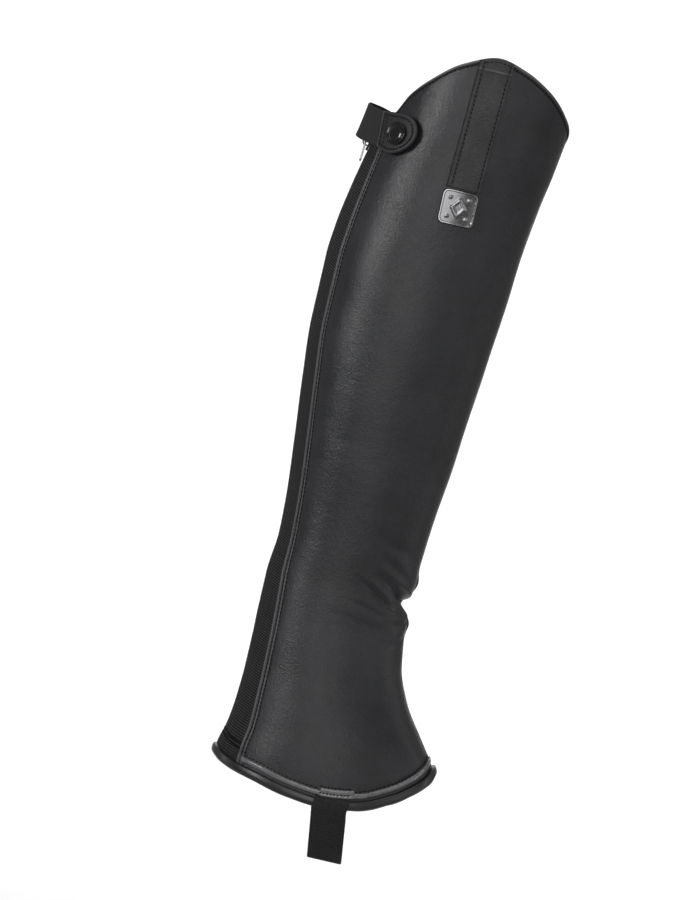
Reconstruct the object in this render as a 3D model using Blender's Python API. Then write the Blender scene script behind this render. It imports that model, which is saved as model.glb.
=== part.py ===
"""Half chap for the right lower leg: a leather panel shaped over the calf and ankle, an elastic
gusset and a zip down the back, a closing tab at the top and a stirrup strap under the foot.

Every cloth piece is a wall laid on one leg surface. A place on that surface is given by two
numbers: how far round it lies, in millimetres from the line down the back of the leg, with plus
towards the outer side, and its height above the hem's datum. +X is the shin, -Y the outer side
and +Z up. Sizes in the tables are millimetres; place() turns them into metres and moves the
origin to the middle of the calf.
"""
import math
from functools import lru_cache

import bmesh
import bpy
import numpy as np
from mathutils import Vector

MM = 0.001

# The origin: the middle of the calf where it is fullest, above the hem's datum.
CALF_MIDDLE = -23.0
CALF_HEIGHT = 320.0

# Cloth thicknesses and the gap that neighbouring pieces keep.
LEATHER = 1.8
ELASTIC = 1.3
TAPE = 0.9
GAP = 0.3

# Level cuts through the leg, outer faces: where the shin and the back line lie along X, half
# the width across, and how much of the elastic gusset shows round the back from the back line.
SECTIONS = (
    # height, shin, back, half_width, gusset
    (470, 57.5, -62.0, 57.0, 27.0),
    (440, 53.2, -64.5, 56.8, 27.0),
    (420, 50.0, -67.2, 56.5, 28.0),
    (400, 47.4, -70.4, 56.2, 30.0),
    (380, 43.9, -74.7, 55.8, 32.0),
    (360, 41.3, -78.6, 55.4, 33.0),
    (340, 39.0, -81.7, 55.0, 33.5),
    (320, 37.3, -83.3, 54.6, 33.0),
    (280, 34.0, -83.3, 53.2, 32.0),
    (240, 30.4, -80.5, 50.4, 31.5),
    (200, 26.4, -76.6, 46.8, 30.5),
    (160, 22.2, -73.3, 43.0, 29.0),
    (140, 20.8, -72.7, 41.2, 28.5),
    (113, 19.6, -74.9, 39.4, 30.0),
    (90, 21.0, -74.9, 39.6, 31.5),
    (72, 23.4, -74.6, 40.8, 32.5),
    (51, 32.0, -74.7, 43.0, 33.5),
    (32, 44.8, -75.6, 45.8, 35.0),
    (16, 56.0, -77.4, 47.8, 37.0),
    (0, 62.5, -81.2, 49.4, 39.0),
    (-30, 67.0, -84.0, 50.6, 41.0),
)
WIDEST = 0.44  # where the cut is widest, as a share of its length from the back
SQUARENESS = 2.15  # 2 is an ellipse; a little more fills the corners out

# The top edge all the way round, as shares of the girth from the back line: the scallop on the
# outer side, the shin at a half, then the nearly level inner side.
TOP_EDGE = (
    # share, height
    (0.000, 416.5),
    (0.088, 417.5),
    (0.113, 430.7),
    (0.154, 444.8),
    (0.194, 456.3),
    (0.256, 465.3),
    (0.303, 461.2),
    (0.365, 451.2),
    (0.435, 437.0),
    (0.500, 427.8),
    (0.560, 423.6),
    (0.640, 421.5),
    (0.820, 420.5),
    (0.890, 417.4),
    (0.960, 416.8),
    (1.000, 416.5),
)

# The lower end of the leather's face, the same on both sides: from the back line to the shin.
HEM = (
    # share, height
    (0.000, 5.0),
    (0.034, 3.0),
    (0.070, -0.8),
    (0.106, -4.3),
    (0.145, -7.5),
    (0.200, -12.4),
    (0.254, -14.5),
    (0.308, -11.7),
    (0.367, -2.0),
    (0.405, 6.4),
    (0.441, 13.9),
    (0.475, 19.6),
    (0.500, 21.3),
)

# Soft folds round the ankle, back from the shin line and up: a valley where depth is plus, a
# ridge where it is minus. side 1 is the outer side, -1 the inner. Those that start at 0 cross
# the shin, so they come in pairs.
FOLDS = (
    # side, height, start, end, rise, depth, spread
    (1, 113.0, 0, 54, 14.0, 5.4, 4.8),
    (-1, 113.0, 0, 46, 9.0, 5.4, 4.8),
    (1, 127.5, 0, 36, 8.0, -1.0, 6.0),
    (-1, 127.5, 0, 30, 5.0, -1.0, 6.0),
    (1, 100.5, 0, 42, 8.0, -0.9, 5.0),
    (-1, 100.5, 0, 36, 6.0, -0.9, 5.0),
    (1, 106.0, 6, 66, 18.0, 1.8, 3.8),
    (1, 77.0, 8, 42, 5.0, 0.9, 3.6),
    (-1, 134.0, 12, 66, 10.0, 1.4, 4.2),
    (-1, 86.0, 10, 58, -6.0, 1.2, 4.0),
)

# The back closing, round from the back line, and how far its outer faces stand off the leg.
OUTER_TAPE = (-3.3, 0.7)
CHAIN = (-9.6, -3.6)
INNER_TAPE = (-12.9, -9.9)
INNER_EDGE = -13.2
ZIP_TOP = 392.5
CHAIN_THICK = 2.2
CHAIN_OFF = -0.2
TAPE_OFF = -0.6
GUSSET_OFF = -0.3

# Turned edges down the back of the leather, and the dart at the instep.
TURNED_WIDTH = 2.4
TURNED_RISE = 0.5
TURNED_FLAT = 3.3  # from here in, the leather lies flat again
DART_TOP = 93.0
DART_HALF_GAP = 0.15

# The hem, measured down from the hem line: glossy strip, groove, rubber rand.
STRIP_DEEP = 3.0
STRIP_THICK = 1.0
STRIP_ROUNDING = 0.6
STRIP_SHOULDER = 0.4
STRIP_INSET = 4.0
RAND_TOP = 5.2
RAND_BOTTOM = 11.0
RAND_INSIDE = -2.3
RAND_PROUD = 1.7
RAND_PROUD_SHIN = 2.7
RAND_SHIN_SPREAD = 0.12
RAND_FACE = (
    # down from the hem line, out as a share of how proud the rand stands
    (RAND_TOP, 0.55),
    (RAND_TOP + 0.9, 1.0),
    (RAND_BOTTOM - 2.4, 1.1),
    (RAND_BOTTOM - 0.6, 0.7),
    (RAND_BOTTOM, 0.2),
)

# Band, patch and badge on the outer side. An edge is (height, across) at its top and its foot.
BAND_LEFT = ((462.0, -14.9), (378.0, -18.1))
BAND_RIGHT = ((462.0, 6.8), (378.0, 3.4))
BAND_THICK = 1.1
BAND_TRIM = 0.6
BAND_FOOT = 378.4
PATCH_FOOT = 455.5
BADGE_ACROSS = (-19.2, 3.4)
BADGE_HEIGHTS = (355.0, 377.6)
BADGE_CORNER = 3.5
BADGE_THICK = 2.0
BADGE_ROWS = 7

# Closing tab: its middle line from the inner side round the back to the press stud.
TAB_LINE = (
    # round, height, off the leather
    (-27.0, 407.2, 0.35),
    (-18.0, 407.8, 0.9),
    (-12.0, 408.2, 4.6),
    (-6.0, 408.2, 8.6),
    (0.0, 407.4, 9.6),
    (10.0, 406.4, 9.0),
    (22.0, 405.2, 6.9),
    (32.0, 404.4, 4.9),
    (49.0, 403.2, 2.9),
    (63.0, 402.6, 2.2),
)
TAB_SLOPE = 0.12  # how steeply the tab runs down round the leg
TAB_LEAN = -0.39  # how much the seam between its elastic and its leather leans back, going up
TAB_HALF_HEIGHT = 11.4
TAB_END_HALF_HEIGHT = 13.4
TAB_LEATHER = 2.2
TAB_ELASTIC_SPAN = (-27.0, 40.3)
TAB_LEATHER_SPAN = (35.3, 61.5)
TAB_END_TURNS = (18, 34, 48, 60, 70, 79)  # degrees along the round end
TAB_ROWS = 7

# The press stud, a round cap on the tab and a stud on the leather under it.
STUD_ROUND = 49.5
CAP_RADIUS = 7.5
CAP_SIDES = 28
CAP_PROFILE = (
    # radius, off the tab's leather
    (CAP_RADIUS - 0.5, 0.0),
    (CAP_RADIUS, 0.5),
    (CAP_RADIUS, 1.2),
    (CAP_RADIUS - 0.5, 1.65),
    (CAP_RADIUS - 1.1, 1.65),
    (CAP_RADIUS - 1.6, 1.2),
    (CAP_RADIUS - 2.8, 1.9),
    (0.8, 2.1),
)
STUD_RADIUS = 4.6
STUD_NECK = 3.2
STUD_FLANGE = 1.0
STUD_SLOPE = 0.4
STUD_REACH = 0.7  # the stud ends this far past the tab's inner face line
STUD_SIDES = 20

# Zip slider and pull tab. The bail's sizes are half its height and its crown, past the hinge.
CHAIN_MIDDLE = (CHAIN[0] + CHAIN[1]) / 2
SLIDER_WIDE = 8.6
SLIDER_TALL = 11.0
SLIDER_PLATE = 1.0
SLIDER_FOOT = 390.0
SLIDER_PLAY = 0.5
SLIDER_BEVEL = 0.35
POST_WIDE = 2.4
POST_TALL = 2.6
POST_CLEAR = 0.6
POST_BITE = 0.3
BAIL_HEIGHT = 395.5
BAIL_OFF = 3.5
BAIL_WIDE = 2.0
BAIL_OUTSIDE = (3.2, 1.9)
BAIL_INSIDE = (1.9, 0.95)
PULL_WIDE = 4.6
PULL_TALL = 14.0
PULL_THICK = 1.1
PULL_CORNER = 1.6
PULL_BAR = 0.45  # half the height of the bar that hangs in the bail
PULL_EYE = 3.6
PULL_EYE_HALF = 1.35
PULL_EYE_CORNER = 0.4
PULL_SLOT_HALF = 1.15
PULL_SLOT_CORNER = 0.8
PULL_RIM = 1.5
PULL_LEAN = 8.0  # degrees: the hanging pull leans in on the zip

# The box at the foot of the zip, just under the chain's end.
BOX_WIDE = 6.0
BOX_TALL = 6.2
BOX_GAP = 0.6
BOX_OFF = (-1.8, 0.4)

# Stirrup strap: elastic webbing. Its ends lie under the glossy strip on both sides; it passes
# over the rand and hangs under the foot.
STRAP_WIDE = 22.0
STRAP_THICK = 1.3
STRAP_ACROSS = 1.0
STRAP_ROUTE = (
    # down from the hem line, inner face off the leather
    (0.5, 0.3),
    (1.8, 0.3),
    (3.2, 0.4),
    (4.4, 1.3),
    (5.6, 2.3),
    (8.0, 2.5),
    (10.4, 2.3),
    (12.0, 1.2),
)
STRAP_BOTTOM = -59.0
STRAP_FORWARD = 4.4
STRAP_LANES = 6
STRAP_SAG = 2.15  # 2 is a parabola; more hangs the loop squarer
STRAP_SHARES = (0.9, 0.78, 0.64, 0.5, 0.34, 0.17, 0.0)  # of the way out from the loop's middle
STRIP_CLEAR = 5.0  # the glossy strip stays raised this far past the strap's edges,
STRIP_RAMP = 5.0  # and takes this far to come down

# Grid fineness, and the heights between which rows crowd at the ankle.
PANEL_COLUMNS = 40
PANEL_ROWS = 34
BACK_ROWS = 26
GUSSET_COLUMNS = 7
TAPE_COLUMNS = 3
CHAIN_COLUMNS = 4
STRIP_COLUMNS = 72
RAND_COLUMNS = 56
BAND_COLUMNS = 5
BAND_ROWS = 12
PATCH_ROWS = 3
PANEL_FOOT = -5.0
PANEL_TOP = 440.0
ANKLE_HEIGHT = 108.0
ANKLE_CROWDING = 6.0
ANKLE_SPREAD = 0.07  # as a share of the panel's height

BLACK_LEATHER = ("black leather", (0.030, 0.031, 0.034), 0.48, 0.0)
GLOSSY_STRIP = ("glossy strip", (0.050, 0.050, 0.052), 0.22, 0.0)
BLACK_RUBBER = ("black rubber", (0.020, 0.020, 0.021), 0.35, 0.0)
BLACK_ELASTIC = ("black elastic", (0.016, 0.016, 0.017), 0.90, 0.0)
ZIP_TAPE = ("zip tape", (0.018, 0.018, 0.019), 0.85, 0.0)
ZIP_TEETH = ("zip teeth", (0.030, 0.030, 0.032), 0.40, 0.0)
BAND_LEATHER = ("band leather", (0.022, 0.022, 0.024), 0.75, 0.0)
BLACK_METAL = ("black metal", (0.060, 0.060, 0.064), 0.30, 1.0)
SILVER = ("silver", (0.78, 0.78, 0.77), 0.18, 1.0)


class Curve:
    """A smooth curve through a table's rows that never swings past them."""

    def __init__(self, rows, value):
        ordered = sorted(rows)
        self.x = [row[0] for row in ordered]
        self.y = [row[value] for row in ordered]
        steps = [
            (y1 - y0) / (x1 - x0)
            for x0, x1, y0, y1 in zip(self.x, self.x[1:], self.y, self.y[1:])
        ]
        self.slope = [steps[0]]
        for before, after in zip(steps, steps[1:]):
            same_way = before * after > 0
            self.slope.append(2 * before * after / (before + after) if same_way else 0.0)
        self.slope.append(steps[-1])

    def __call__(self, at):
        at = min(max(at, self.x[0]), self.x[-1])
        row = 0
        while row < len(self.x) - 2 and at > self.x[row + 1]:
            row += 1
        span = self.x[row + 1] - self.x[row]
        t = (at - self.x[row]) / span
        start = self.y[row] + t * t * (3 - 2 * t) * (self.y[row + 1] - self.y[row])
        bend = t * (1 - t) ** 2 * self.slope[row] - t * t * (1 - t) * self.slope[row + 1]
        return start + span * bend


SHIN_X, BACK_X, HALF_WIDTH, GUSSET = (Curve(SECTIONS, value) for value in (1, 2, 3, 4))
TOP_LINE = Curve(TOP_EDGE, 1)
HEM_LINE = Curve(HEM, 1)
TAB_HEIGHT = Curve(TAB_LINE, 1)
TAB_OFF = Curve(TAB_LINE, 2)


def place(x, y, height):
    """A point in the tables' millimetres as a point of the part, in metres."""
    return Vector(((x - CALF_MIDDLE) * MM, y * MM, (height - CALF_HEIGHT) * MM))


@lru_cache(maxsize=None)
def level_cut(height):
    """The leg's outline at one height, from the back line round the outer side and back."""
    shin, back = SHIN_X(height), BACK_X(height)
    widest = back + WIDEST * (shin - back)
    turn = np.linspace(0.0, 2 * math.pi, 721)
    along, aside = -np.cos(turn), np.sin(turn)
    reach = np.where(along > 0, shin - widest, widest - back)
    x = widest + reach * np.sign(along) * np.abs(along) ** (2 / SQUARENESS)
    y = -HALF_WIDTH(height) * np.sign(aside) * np.abs(aside) ** (2 / SQUARENESS)
    steps = np.hypot(np.diff(x), np.diff(y))
    return np.concatenate(([0.0], np.cumsum(steps))), x, y


def girth(height):
    return level_cut(round(height, 2))[0][-1]


def bare(around, height):
    """The smooth leg surface, before folds, in the tables' millimetres."""
    arc, x, y = level_cut(round(height, 2))
    at = around % arc[-1]
    return np.array((np.interp(at, arc, x), np.interp(at, arc, y), height))


def outward(around, height):
    """Unit normal of the leg surface."""
    sideways = bare(around + 1.5, height) - bare(around - 1.5, height)
    upwards = bare(around, height + 1.5) - bare(around, height - 1.5)
    normal = np.cross(sideways, upwards)
    return normal / np.linalg.norm(normal)


def fold(around, height):
    """How far the folds lift the leather here: minus in a valley."""
    lift = 0.0
    middle = girth(height) / 2
    for side, level_at_shin, start, end, rise, depth, spread in FOLDS:
        behind = side * (middle - around)
        if not start <= behind < end:
            continue
        along = (behind - start) / (end - start)
        if start == 0:
            strength = math.cos(math.pi / 2 * along) ** 2
        else:
            strength = math.sin(math.pi * math.sqrt(along)) ** 2
        line = level_at_shin + rise * along ** 1.5
        lift -= depth * strength * math.exp(-(((height - line) / spread) ** 2))
    return lift


def on_leg(around, height, off=0.0):
    """A point on the folded leg surface, moved out by off."""
    lift = off + fold(around, height)
    return bare(around, height) + lift * outward(around, height)


def outer_at(across, height):
    """How far round the outer side a point lies that is seen at this X."""
    arc, x, _ = level_cut(round(height, 2))
    half = len(arc) // 2
    return float(np.interp(across, x[: half + 1], arc[: half + 1]))


def settle(line, around):
    """The height of an edge line where a column that runs round(height) meets it."""
    height = 0.0
    for _ in range(6):
        share = around(height) / girth(height) % 1.0
        height = line(share)
    return height


def hem_at(around):
    return settle(lambda share: HEM_LINE(min(share, 1 - share)), around)


def below_hem(around, down):
    """The height of a point that lies down millimetres below the hem line, square to it."""
    line = hem_at(around)
    ahead = hem_at(lambda height: around(height) + 2.0)
    slope = (ahead - line) / 2.0
    return line - down * math.sqrt(1 + slope * slope)


def top_at(around):
    return settle(TOP_LINE, around)


def finish(name, mesh, look, sharp=40):
    """Makes the named object with its own material, shaded smooth between its sharp edges."""
    item = bpy.data.objects.new(name, mesh)
    bpy.context.scene.collection.objects.link(item)
    label, colour, roughness, metallic = look
    material = bpy.data.materials.new(f"{name} {label}")
    material.use_nodes = True
    shader = material.node_tree.nodes["Principled BSDF"]
    shader.inputs["Base Color"].default_value = (*colour, 1.0)
    shader.inputs["Roughness"].default_value = roughness
    shader.inputs["Metallic"].default_value = metallic
    mesh.materials.append(material)
    mesh.shade_smooth()
    mesh.set_sharp_from_angle(angle=math.radians(sharp))
    return item


def wall(name, outer, inner, quads, look):
    """A closed wall between an outer and an inner skin that share the same quads."""
    mesh = bmesh.new()
    outside = [mesh.verts.new(place(*point)) for point in outer]
    inside = [mesh.verts.new(place(*point)) for point in inner]
    rim = {}
    for quad in quads:
        mesh.faces.new([outside[corner] for corner in quad])
        mesh.faces.new([inside[corner] for corner in reversed(quad)])
        for start, end in zip(quad, quad[1:] + quad[:1]):
            if rim.pop((end, start), None) is None:
                rim[(start, end)] = True
    for start, end in rim:
        mesh.faces.new((outside[end], outside[start], inside[start], inside[end]))
    return solid(name, mesh, look)


def solid(name, mesh, look):
    bmesh.ops.recalc_face_normals(mesh, faces=mesh.faces)
    data = bpy.data.meshes.new(name)
    mesh.to_mesh(data)
    mesh.free()
    return finish(name, data, look)


def grid_quads(columns, rows):
    """Quads of a grid whose points are counted up each column in turn."""
    return [
        (
            column * rows + row,
            (column + 1) * rows + row,
            (column + 1) * rows + row + 1,
            column * rows + row + 1,
        )
        for column in range(columns - 1)
        for row in range(rows - 1)
    ]


def sheet(name, columns, rows, spot, outer_off, inner_off, look):
    """A wall on the leg: spot(column, row) gives how far round and how high a point lies."""
    spots = [spot(column, row) for column in range(columns) for row in range(rows)]
    outer = [on_leg(*at, outer_off) for at in spots]
    inner = [on_leg(*at, inner_off) for at in spots]
    return wall(name, outer, inner, grid_quads(columns, rows), look)


def sweep(name, rings, look):
    """A closed bar through rings of points."""
    mesh = bmesh.new()
    loops = [[mesh.verts.new(place(*point)) for point in ring] for ring in rings]
    for before, after in zip(loops, loops[1:]):
        join_loops(mesh, before, after)
    mesh.faces.new(loops[0])
    mesh.faces.new(loops[-1])
    return solid(name, mesh, look)


def join_loops(mesh, before, after):
    """Faces between two closed loops with as many points each."""
    for here, there, next_there, next_here in zip(
        before, after, after[1:] + after[:1], before[1:] + before[:1]
    ):
        mesh.faces.new((here, there, next_there, next_here))


def row_heights(count, foot, top):
    """Shares of the way up, closer together over the ankle where the leather folds."""
    levels = np.linspace(0.0, 1.0, 400)
    ankle = (ANKLE_HEIGHT - foot) / (top - foot)
    density = 1.0 + ANKLE_CROWDING * np.exp(-(((levels - ankle) / ANKLE_SPREAD) ** 2))
    travelled = np.concatenate(([0.0], np.cumsum(density[:-1])))
    return np.interp(np.linspace(0.0, travelled[-1], count), travelled, levels)


def level(value):
    """A line that keeps one distance round from the back line."""
    return lambda height: value


def outer_edge(inset):
    """The line that lies inset millimetres in from the leather's edge beside the gusset."""
    return lambda height: GUSSET(height) + inset


def inner_edge(inset):
    """The line that lies inset millimetres in from the leather's edge beside the zip."""
    return lambda height: girth(height) + INNER_EDGE - inset


def shin_line(aside):
    """The line down the shin, moved aside towards the inner side."""
    return lambda height: girth(height) / 2 + aside


def between(share, start, end):
    """The line that keeps its share of the way from one line to another."""
    return lambda height: start(height) + share * (end(height) - start(height))


def panel_lines():
    """The panel's columns, each with the rise of its face, and the number of the dart's."""
    turned = ((0.0, TURNED_RISE), (TURNED_WIDTH, TURNED_RISE), (TURNED_FLAT, 0.0))
    start, end = outer_edge(TURNED_FLAT), inner_edge(TURNED_FLAT)
    shares = np.linspace(0.0, 1.0, PANEL_COLUMNS)[1:-1]

    # The column nearest the shin line is moved onto it and parted by the dart.
    reach = end(CALF_HEIGHT) - start(CALF_HEIGHT)
    shin_share = (shin_line(0.0)(CALF_HEIGHT) - start(CALF_HEIGHT)) / reach
    nearest = int(np.argmin(abs(shares - shin_share)))
    columns = [(outer_edge(inset), rise) for inset, rise in turned]
    columns += [(between(share, start, end), 0.0) for share in shares[:nearest]]
    dart = len(columns)
    columns += [(shin_line(-DART_HALF_GAP), 0.0), (shin_line(DART_HALF_GAP), 0.0)]
    columns += [(between(share, start, end), 0.0) for share in shares[nearest + 1 :]]
    columns += [(inner_edge(inset), rise) for inset, rise in reversed(turned)]
    return columns, dart


def make_leather_panel():
    """One piece of leather round the shin, its back edges turned, a dart cut at the instep."""
    shares = row_heights(PANEL_ROWS, PANEL_FOOT, PANEL_TOP)
    count = len(shares)
    columns, dart = panel_lines()
    outer, inner = [], []
    for around, rise in columns:
        foot = below_hem(around, RAND_TOP - GAP)
        top = top_at(around)
        for share in shares:
            height = foot + share * (top - foot)
            outer.append(on_leg(around(height), height, rise))
            inner.append(on_leg(around(height), height, -LEATHER))

    # Above the dart the two shin columns are one.
    joined = {
        (dart + 1) * count + row: dart * count + row
        for row in range(count)
        if outer[dart * count + row][2] > DART_TOP
    }
    quads = [
        tuple(joined.get(corner, corner) for corner in quad)
        for quad in grid_quads(len(columns), count)
        if quad[0] // count != dart
    ]
    used = sorted({corner for quad in quads for corner in quad})
    number = {corner: place_in_list for place_in_list, corner in enumerate(used)}
    quads = [tuple(number[corner] for corner in quad) for quad in quads]
    outer = [outer[corner] for corner in used]
    inner = [inner[corner] for corner in used]
    return wall("leather_panel", outer, inner, quads, BLACK_LEATHER)


def back_strip(name, left, right, columns, inner_off, outer_off, look, top=None):
    """A strip down the back between the lines left and right, up to the top edge or to top."""
    shares = row_heights(BACK_ROWS, PANEL_FOOT, PANEL_TOP)

    def spot(column, row):
        around = between(column / (columns - 1), left, right)
        foot = below_hem(around, RAND_TOP - GAP)
        height = foot + shares[row] * ((top or top_at(around)) - foot)
        return around(height), height

    return sheet(name, columns, BACK_ROWS, spot, outer_off, inner_off, look)


def make_back():
    """The elastic gusset and the zip, side by side from the outer edge to the inner edge."""
    back_strip(
        "back_elastic",
        level(OUTER_TAPE[1] + GAP),
        outer_edge(-GAP),
        GUSSET_COLUMNS,
        GUSSET_OFF - ELASTIC,
        GUSSET_OFF,
        BLACK_ELASTIC,
    )
    for name, (left, right) in (("zip_tape_outer", OUTER_TAPE), ("zip_tape_inner", INNER_TAPE)):
        back_strip(
            name, level(left), level(right), TAPE_COLUMNS, TAPE_OFF - TAPE, TAPE_OFF, ZIP_TAPE
        )
    back_strip(
        "zip_chain",
        level(CHAIN[0]),
        level(CHAIN[1]),
        CHAIN_COLUMNS,
        CHAIN_OFF - CHAIN_THICK,
        CHAIN_OFF,
        ZIP_TEETH,
        top=ZIP_TOP,
    )


def hem_bar(name, start, end, columns, profile, look):
    """A bar along the hem. profile lists its (down, off) corners, outer face first, from its
    share of the way round and how far the strap lifts it there."""
    rings = []
    for column in range(columns):
        share = column / (columns - 1)
        around = between(share, start, end)
        ring = []
        line = hem_at(around)
        for down, off in profile(share, strap_rise(around(line), line)):
            height = below_hem(around, down)
            ring.append(on_leg(around(height), height, off))
        rings.append(ring)
    return sweep(name, rings, look)


def strap_rise(around, height):
    """1 where the strap's end lies under the glossy strip, 0 clear of it on either side."""
    across = bare(around, height)[0] - STRAP_ACROSS
    beyond = (abs(across) - STRAP_WIDE / 2 - STRIP_CLEAR) / STRIP_RAMP
    t = min(max(beyond, 0.0), 1.0)
    return 1 - t * t * (3 - 2 * t)


def make_hem():
    """Glossy strip on the leather and rubber rand round its foot, both open at the zip."""

    def strip_profile(_, lift):
        inner = GAP + lift * (STRAP_THICK + GAP)
        outer = inner + STRIP_THICK
        shoulder = outer - STRIP_SHOULDER
        return (
            (0.0, inner),
            (0.0, shoulder),
            (STRIP_ROUNDING, outer),
            (STRIP_DEEP - STRIP_ROUNDING, outer),
            (STRIP_DEEP, shoulder),
            (STRIP_DEEP, inner),
        )

    hem_bar(
        "hem_strip",
        outer_edge(STRIP_INSET),
        inner_edge(STRIP_INSET),
        STRIP_COLUMNS,
        strip_profile,
        GLOSSY_STRIP,
    )

    def rand_profile(share, _):
        # Prouder round the shin, where the rubber turns tightest.
        nearness = math.exp(-(((share - 0.5) / RAND_SHIN_SPREAD) ** 2))
        proud = RAND_PROUD + nearness * (RAND_PROUD_SHIN - RAND_PROUD)
        corners = [(down, out * proud) for down, out in RAND_FACE]
        return [(RAND_TOP, RAND_INSIDE), *corners, (RAND_BOTTOM, RAND_INSIDE)]

    hem_bar(
        "hem_rand",
        level(OUTER_TAPE[1] + GAP),
        inner_edge(0.0),
        RAND_COLUMNS,
        rand_profile,
        BLACK_RUBBER,
    )


def side_line(line, height):
    """Where a straight edge on the outer side is seen at this height."""
    (top, top_across), (foot, foot_across) = line
    return top_across + (height - top) / (foot - top) * (foot_across - top_across)


def band_piece(name, foot, rows, inner_off):
    """A piece as wide as the band, from foot up to just under the panel's top edge."""
    left, right = (
        lambda height, line=line: outer_at(side_line(line, height), height)
        for line in (BAND_LEFT, BAND_RIGHT)
    )

    def spot(column, row):
        around = between(column / (BAND_COLUMNS - 1), left, right)
        top = top_at(around) - BAND_TRIM
        height = foot + row / (rows - 1) * (top - foot)
        return around(height), height

    sheet(name, BAND_COLUMNS, rows, spot, inner_off + BAND_THICK, inner_off, BAND_LEATHER)


def make_band():
    """The band down the outer side and the short patch over its upper end."""
    band_piece("top_band", BAND_FOOT, BAND_ROWS, GAP)
    band_piece("top_patch", PATCH_FOOT, PATCH_ROWS, GAP + BAND_THICK + GAP)


def make_badge():
    """A square metal badge with round corners that lies on the leather below the band."""
    left, right = BADGE_ACROSS
    low, high = BADGE_HEIGHTS
    half = (high - low) / 2
    corner = []
    for angle in (0, 30, 60, 90):
        turn = math.radians(angle)
        inset = BADGE_CORNER * (1 - math.cos(turn))
        corner.append((left + inset, half - BADGE_CORNER * (1 - math.sin(turn))))
    flat = np.linspace(left + BADGE_CORNER, right - BADGE_CORNER, 5)[1:-1]
    mirrored = [(left + right - x, reach) for x, reach in reversed(corner)]
    stations = corner + [(x, half) for x in flat] + mirrored

    def spot(column, row):
        x, reach = stations[column]
        height = low + half + reach * (2 * row / (BADGE_ROWS - 1) - 1)
        return outer_at(x, height), height

    sheet("badge", len(stations), BADGE_ROWS, spot, GAP + BADGE_THICK, GAP, SILVER)


def tab_spot(around, aside):
    """A point on the closing tab, aside millimetres above its middle line, square to it."""
    return around + TAB_SLOPE * aside, TAB_HEIGHT(around) + aside * math.sqrt(1 - TAB_SLOPE ** 2)


def tab_wall(name, stations, inner_off, outer_off, look):
    """A wall along the tab; each station is how far round it lies, its half height and lean."""
    outer, inner = [], []
    for around, half, lean in stations:
        for row in range(TAB_ROWS):
            aside = half * (2 * row / (TAB_ROWS - 1) - 1)
            place = around + lean * aside
            spot = tab_spot(place, aside)
            outer.append(on_leg(*spot, TAB_OFF(place) + outer_off))
            inner.append(on_leg(*spot, TAB_OFF(place) + inner_off))
    return wall(name, outer, inner, grid_quads(len(stations), TAB_ROWS), look)


def make_tab():
    """The closing tab: an elastic length and a leather end that holds the press stud."""
    start, end = TAB_ELASTIC_SPAN
    stations = [
        (start + share * (end - start), TAB_HALF_HEIGHT, share * TAB_LEAN)
        for share in np.linspace(0.0, 1.0, 22)
    ]
    tab_wall("tab_elastic", stations, 0.0, ELASTIC, BLACK_ELASTIC)

    start, end = TAB_LEATHER_SPAN
    centre = end - TAB_END_HALF_HEIGHT
    wider = TAB_END_HALF_HEIGHT - TAB_HALF_HEIGHT
    stations = [
        (start + share * (centre - start), TAB_HALF_HEIGHT + wider * share, (1 - share) * TAB_LEAN)
        for share in np.linspace(0.0, 1.0, 6)
    ]
    for angle in TAB_END_TURNS:
        turn = math.radians(angle)
        half = TAB_END_HALF_HEIGHT * math.cos(turn)
        stations.append((centre + TAB_END_HALF_HEIGHT * math.sin(turn), half, 0.0))
    lift = ELASTIC + GAP
    tab_wall("tab_leather", stations, lift, lift + TAB_LEATHER, BLACK_LEATHER)


def frame_at(around, height, off):
    """A point off the leg with its three directions: round the leg, up along it, and out."""
    out = Vector(outward(around, height))
    up = Vector(bare(around, height + 1.5) - bare(around, height - 1.5))
    up = (up - up.dot(out) * out).normalized()
    round_leg = up.cross(out).normalized()
    origin = Vector(on_leg(around, height, 0.0)) + off * out
    return origin, round_leg, up, out


def turned(name, around, height, off, profile, look, sides):
    """A turned button: profile lists (radius, off) from its inner face to its outer middle."""
    origin, round_leg, up, out = frame_at(around, height, off)
    turns = [2 * math.pi * side / sides for side in range(sides)]
    spokes = [math.cos(turn) * round_leg + math.sin(turn) * up for turn in turns]
    rings = [[origin + radius * spoke + rise * out for spoke in spokes] for radius, rise in profile]
    return sweep(name, rings, look)


def make_press_stud():
    """The cap on the tab's leather end, and the stud under it on the panel."""
    height = TAB_HEIGHT(STUD_ROUND)
    off = TAB_OFF(STUD_ROUND) + ELASTIC + GAP + TAB_LEATHER + GAP
    turned("snap_cap", STUD_ROUND, height, off, CAP_PROFILE, BLACK_METAL, CAP_SIDES)
    stud_top = TAB_OFF(STUD_ROUND) + STUD_REACH
    stud = (
        (STUD_RADIUS, GAP),
        (STUD_RADIUS, STUD_FLANGE),
        (STUD_NECK, STUD_FLANGE + STUD_SLOPE),
        (STUD_NECK, stud_top),
    )
    turned("snap_stud", STUD_ROUND, height, 0.0, stud, BLACK_METAL, STUD_SIDES)


def block(name, frame, wide, up_from, up_to, out_from, out_to, look):
    """A box in a frame's directions: wide across, from and to along its up and out."""
    origin, round_leg, up, out = frame
    mesh = bmesh.new()
    corners = {}
    for a in (-wide / 2, wide / 2):
        for b in (up_from, up_to):
            for c in (out_from, out_to):
                corners[a, b, c] = mesh.verts.new(
                    place(*(origin + a * round_leg + b * up + c * out))
                )
    bmesh.ops.convex_hull(mesh, input=list(mesh.verts))
    return solid(name, mesh, look)


def add_boolean(item, other, operation):
    """Joins or cuts item with a helper that is itself left out."""
    other.hide_render = True
    other.display_type = "WIRE"
    modifier = item.modifiers.new(operation.title(), "BOOLEAN")
    modifier.operation = operation
    modifier.solver = "EXACT"
    modifier.object = other


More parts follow.
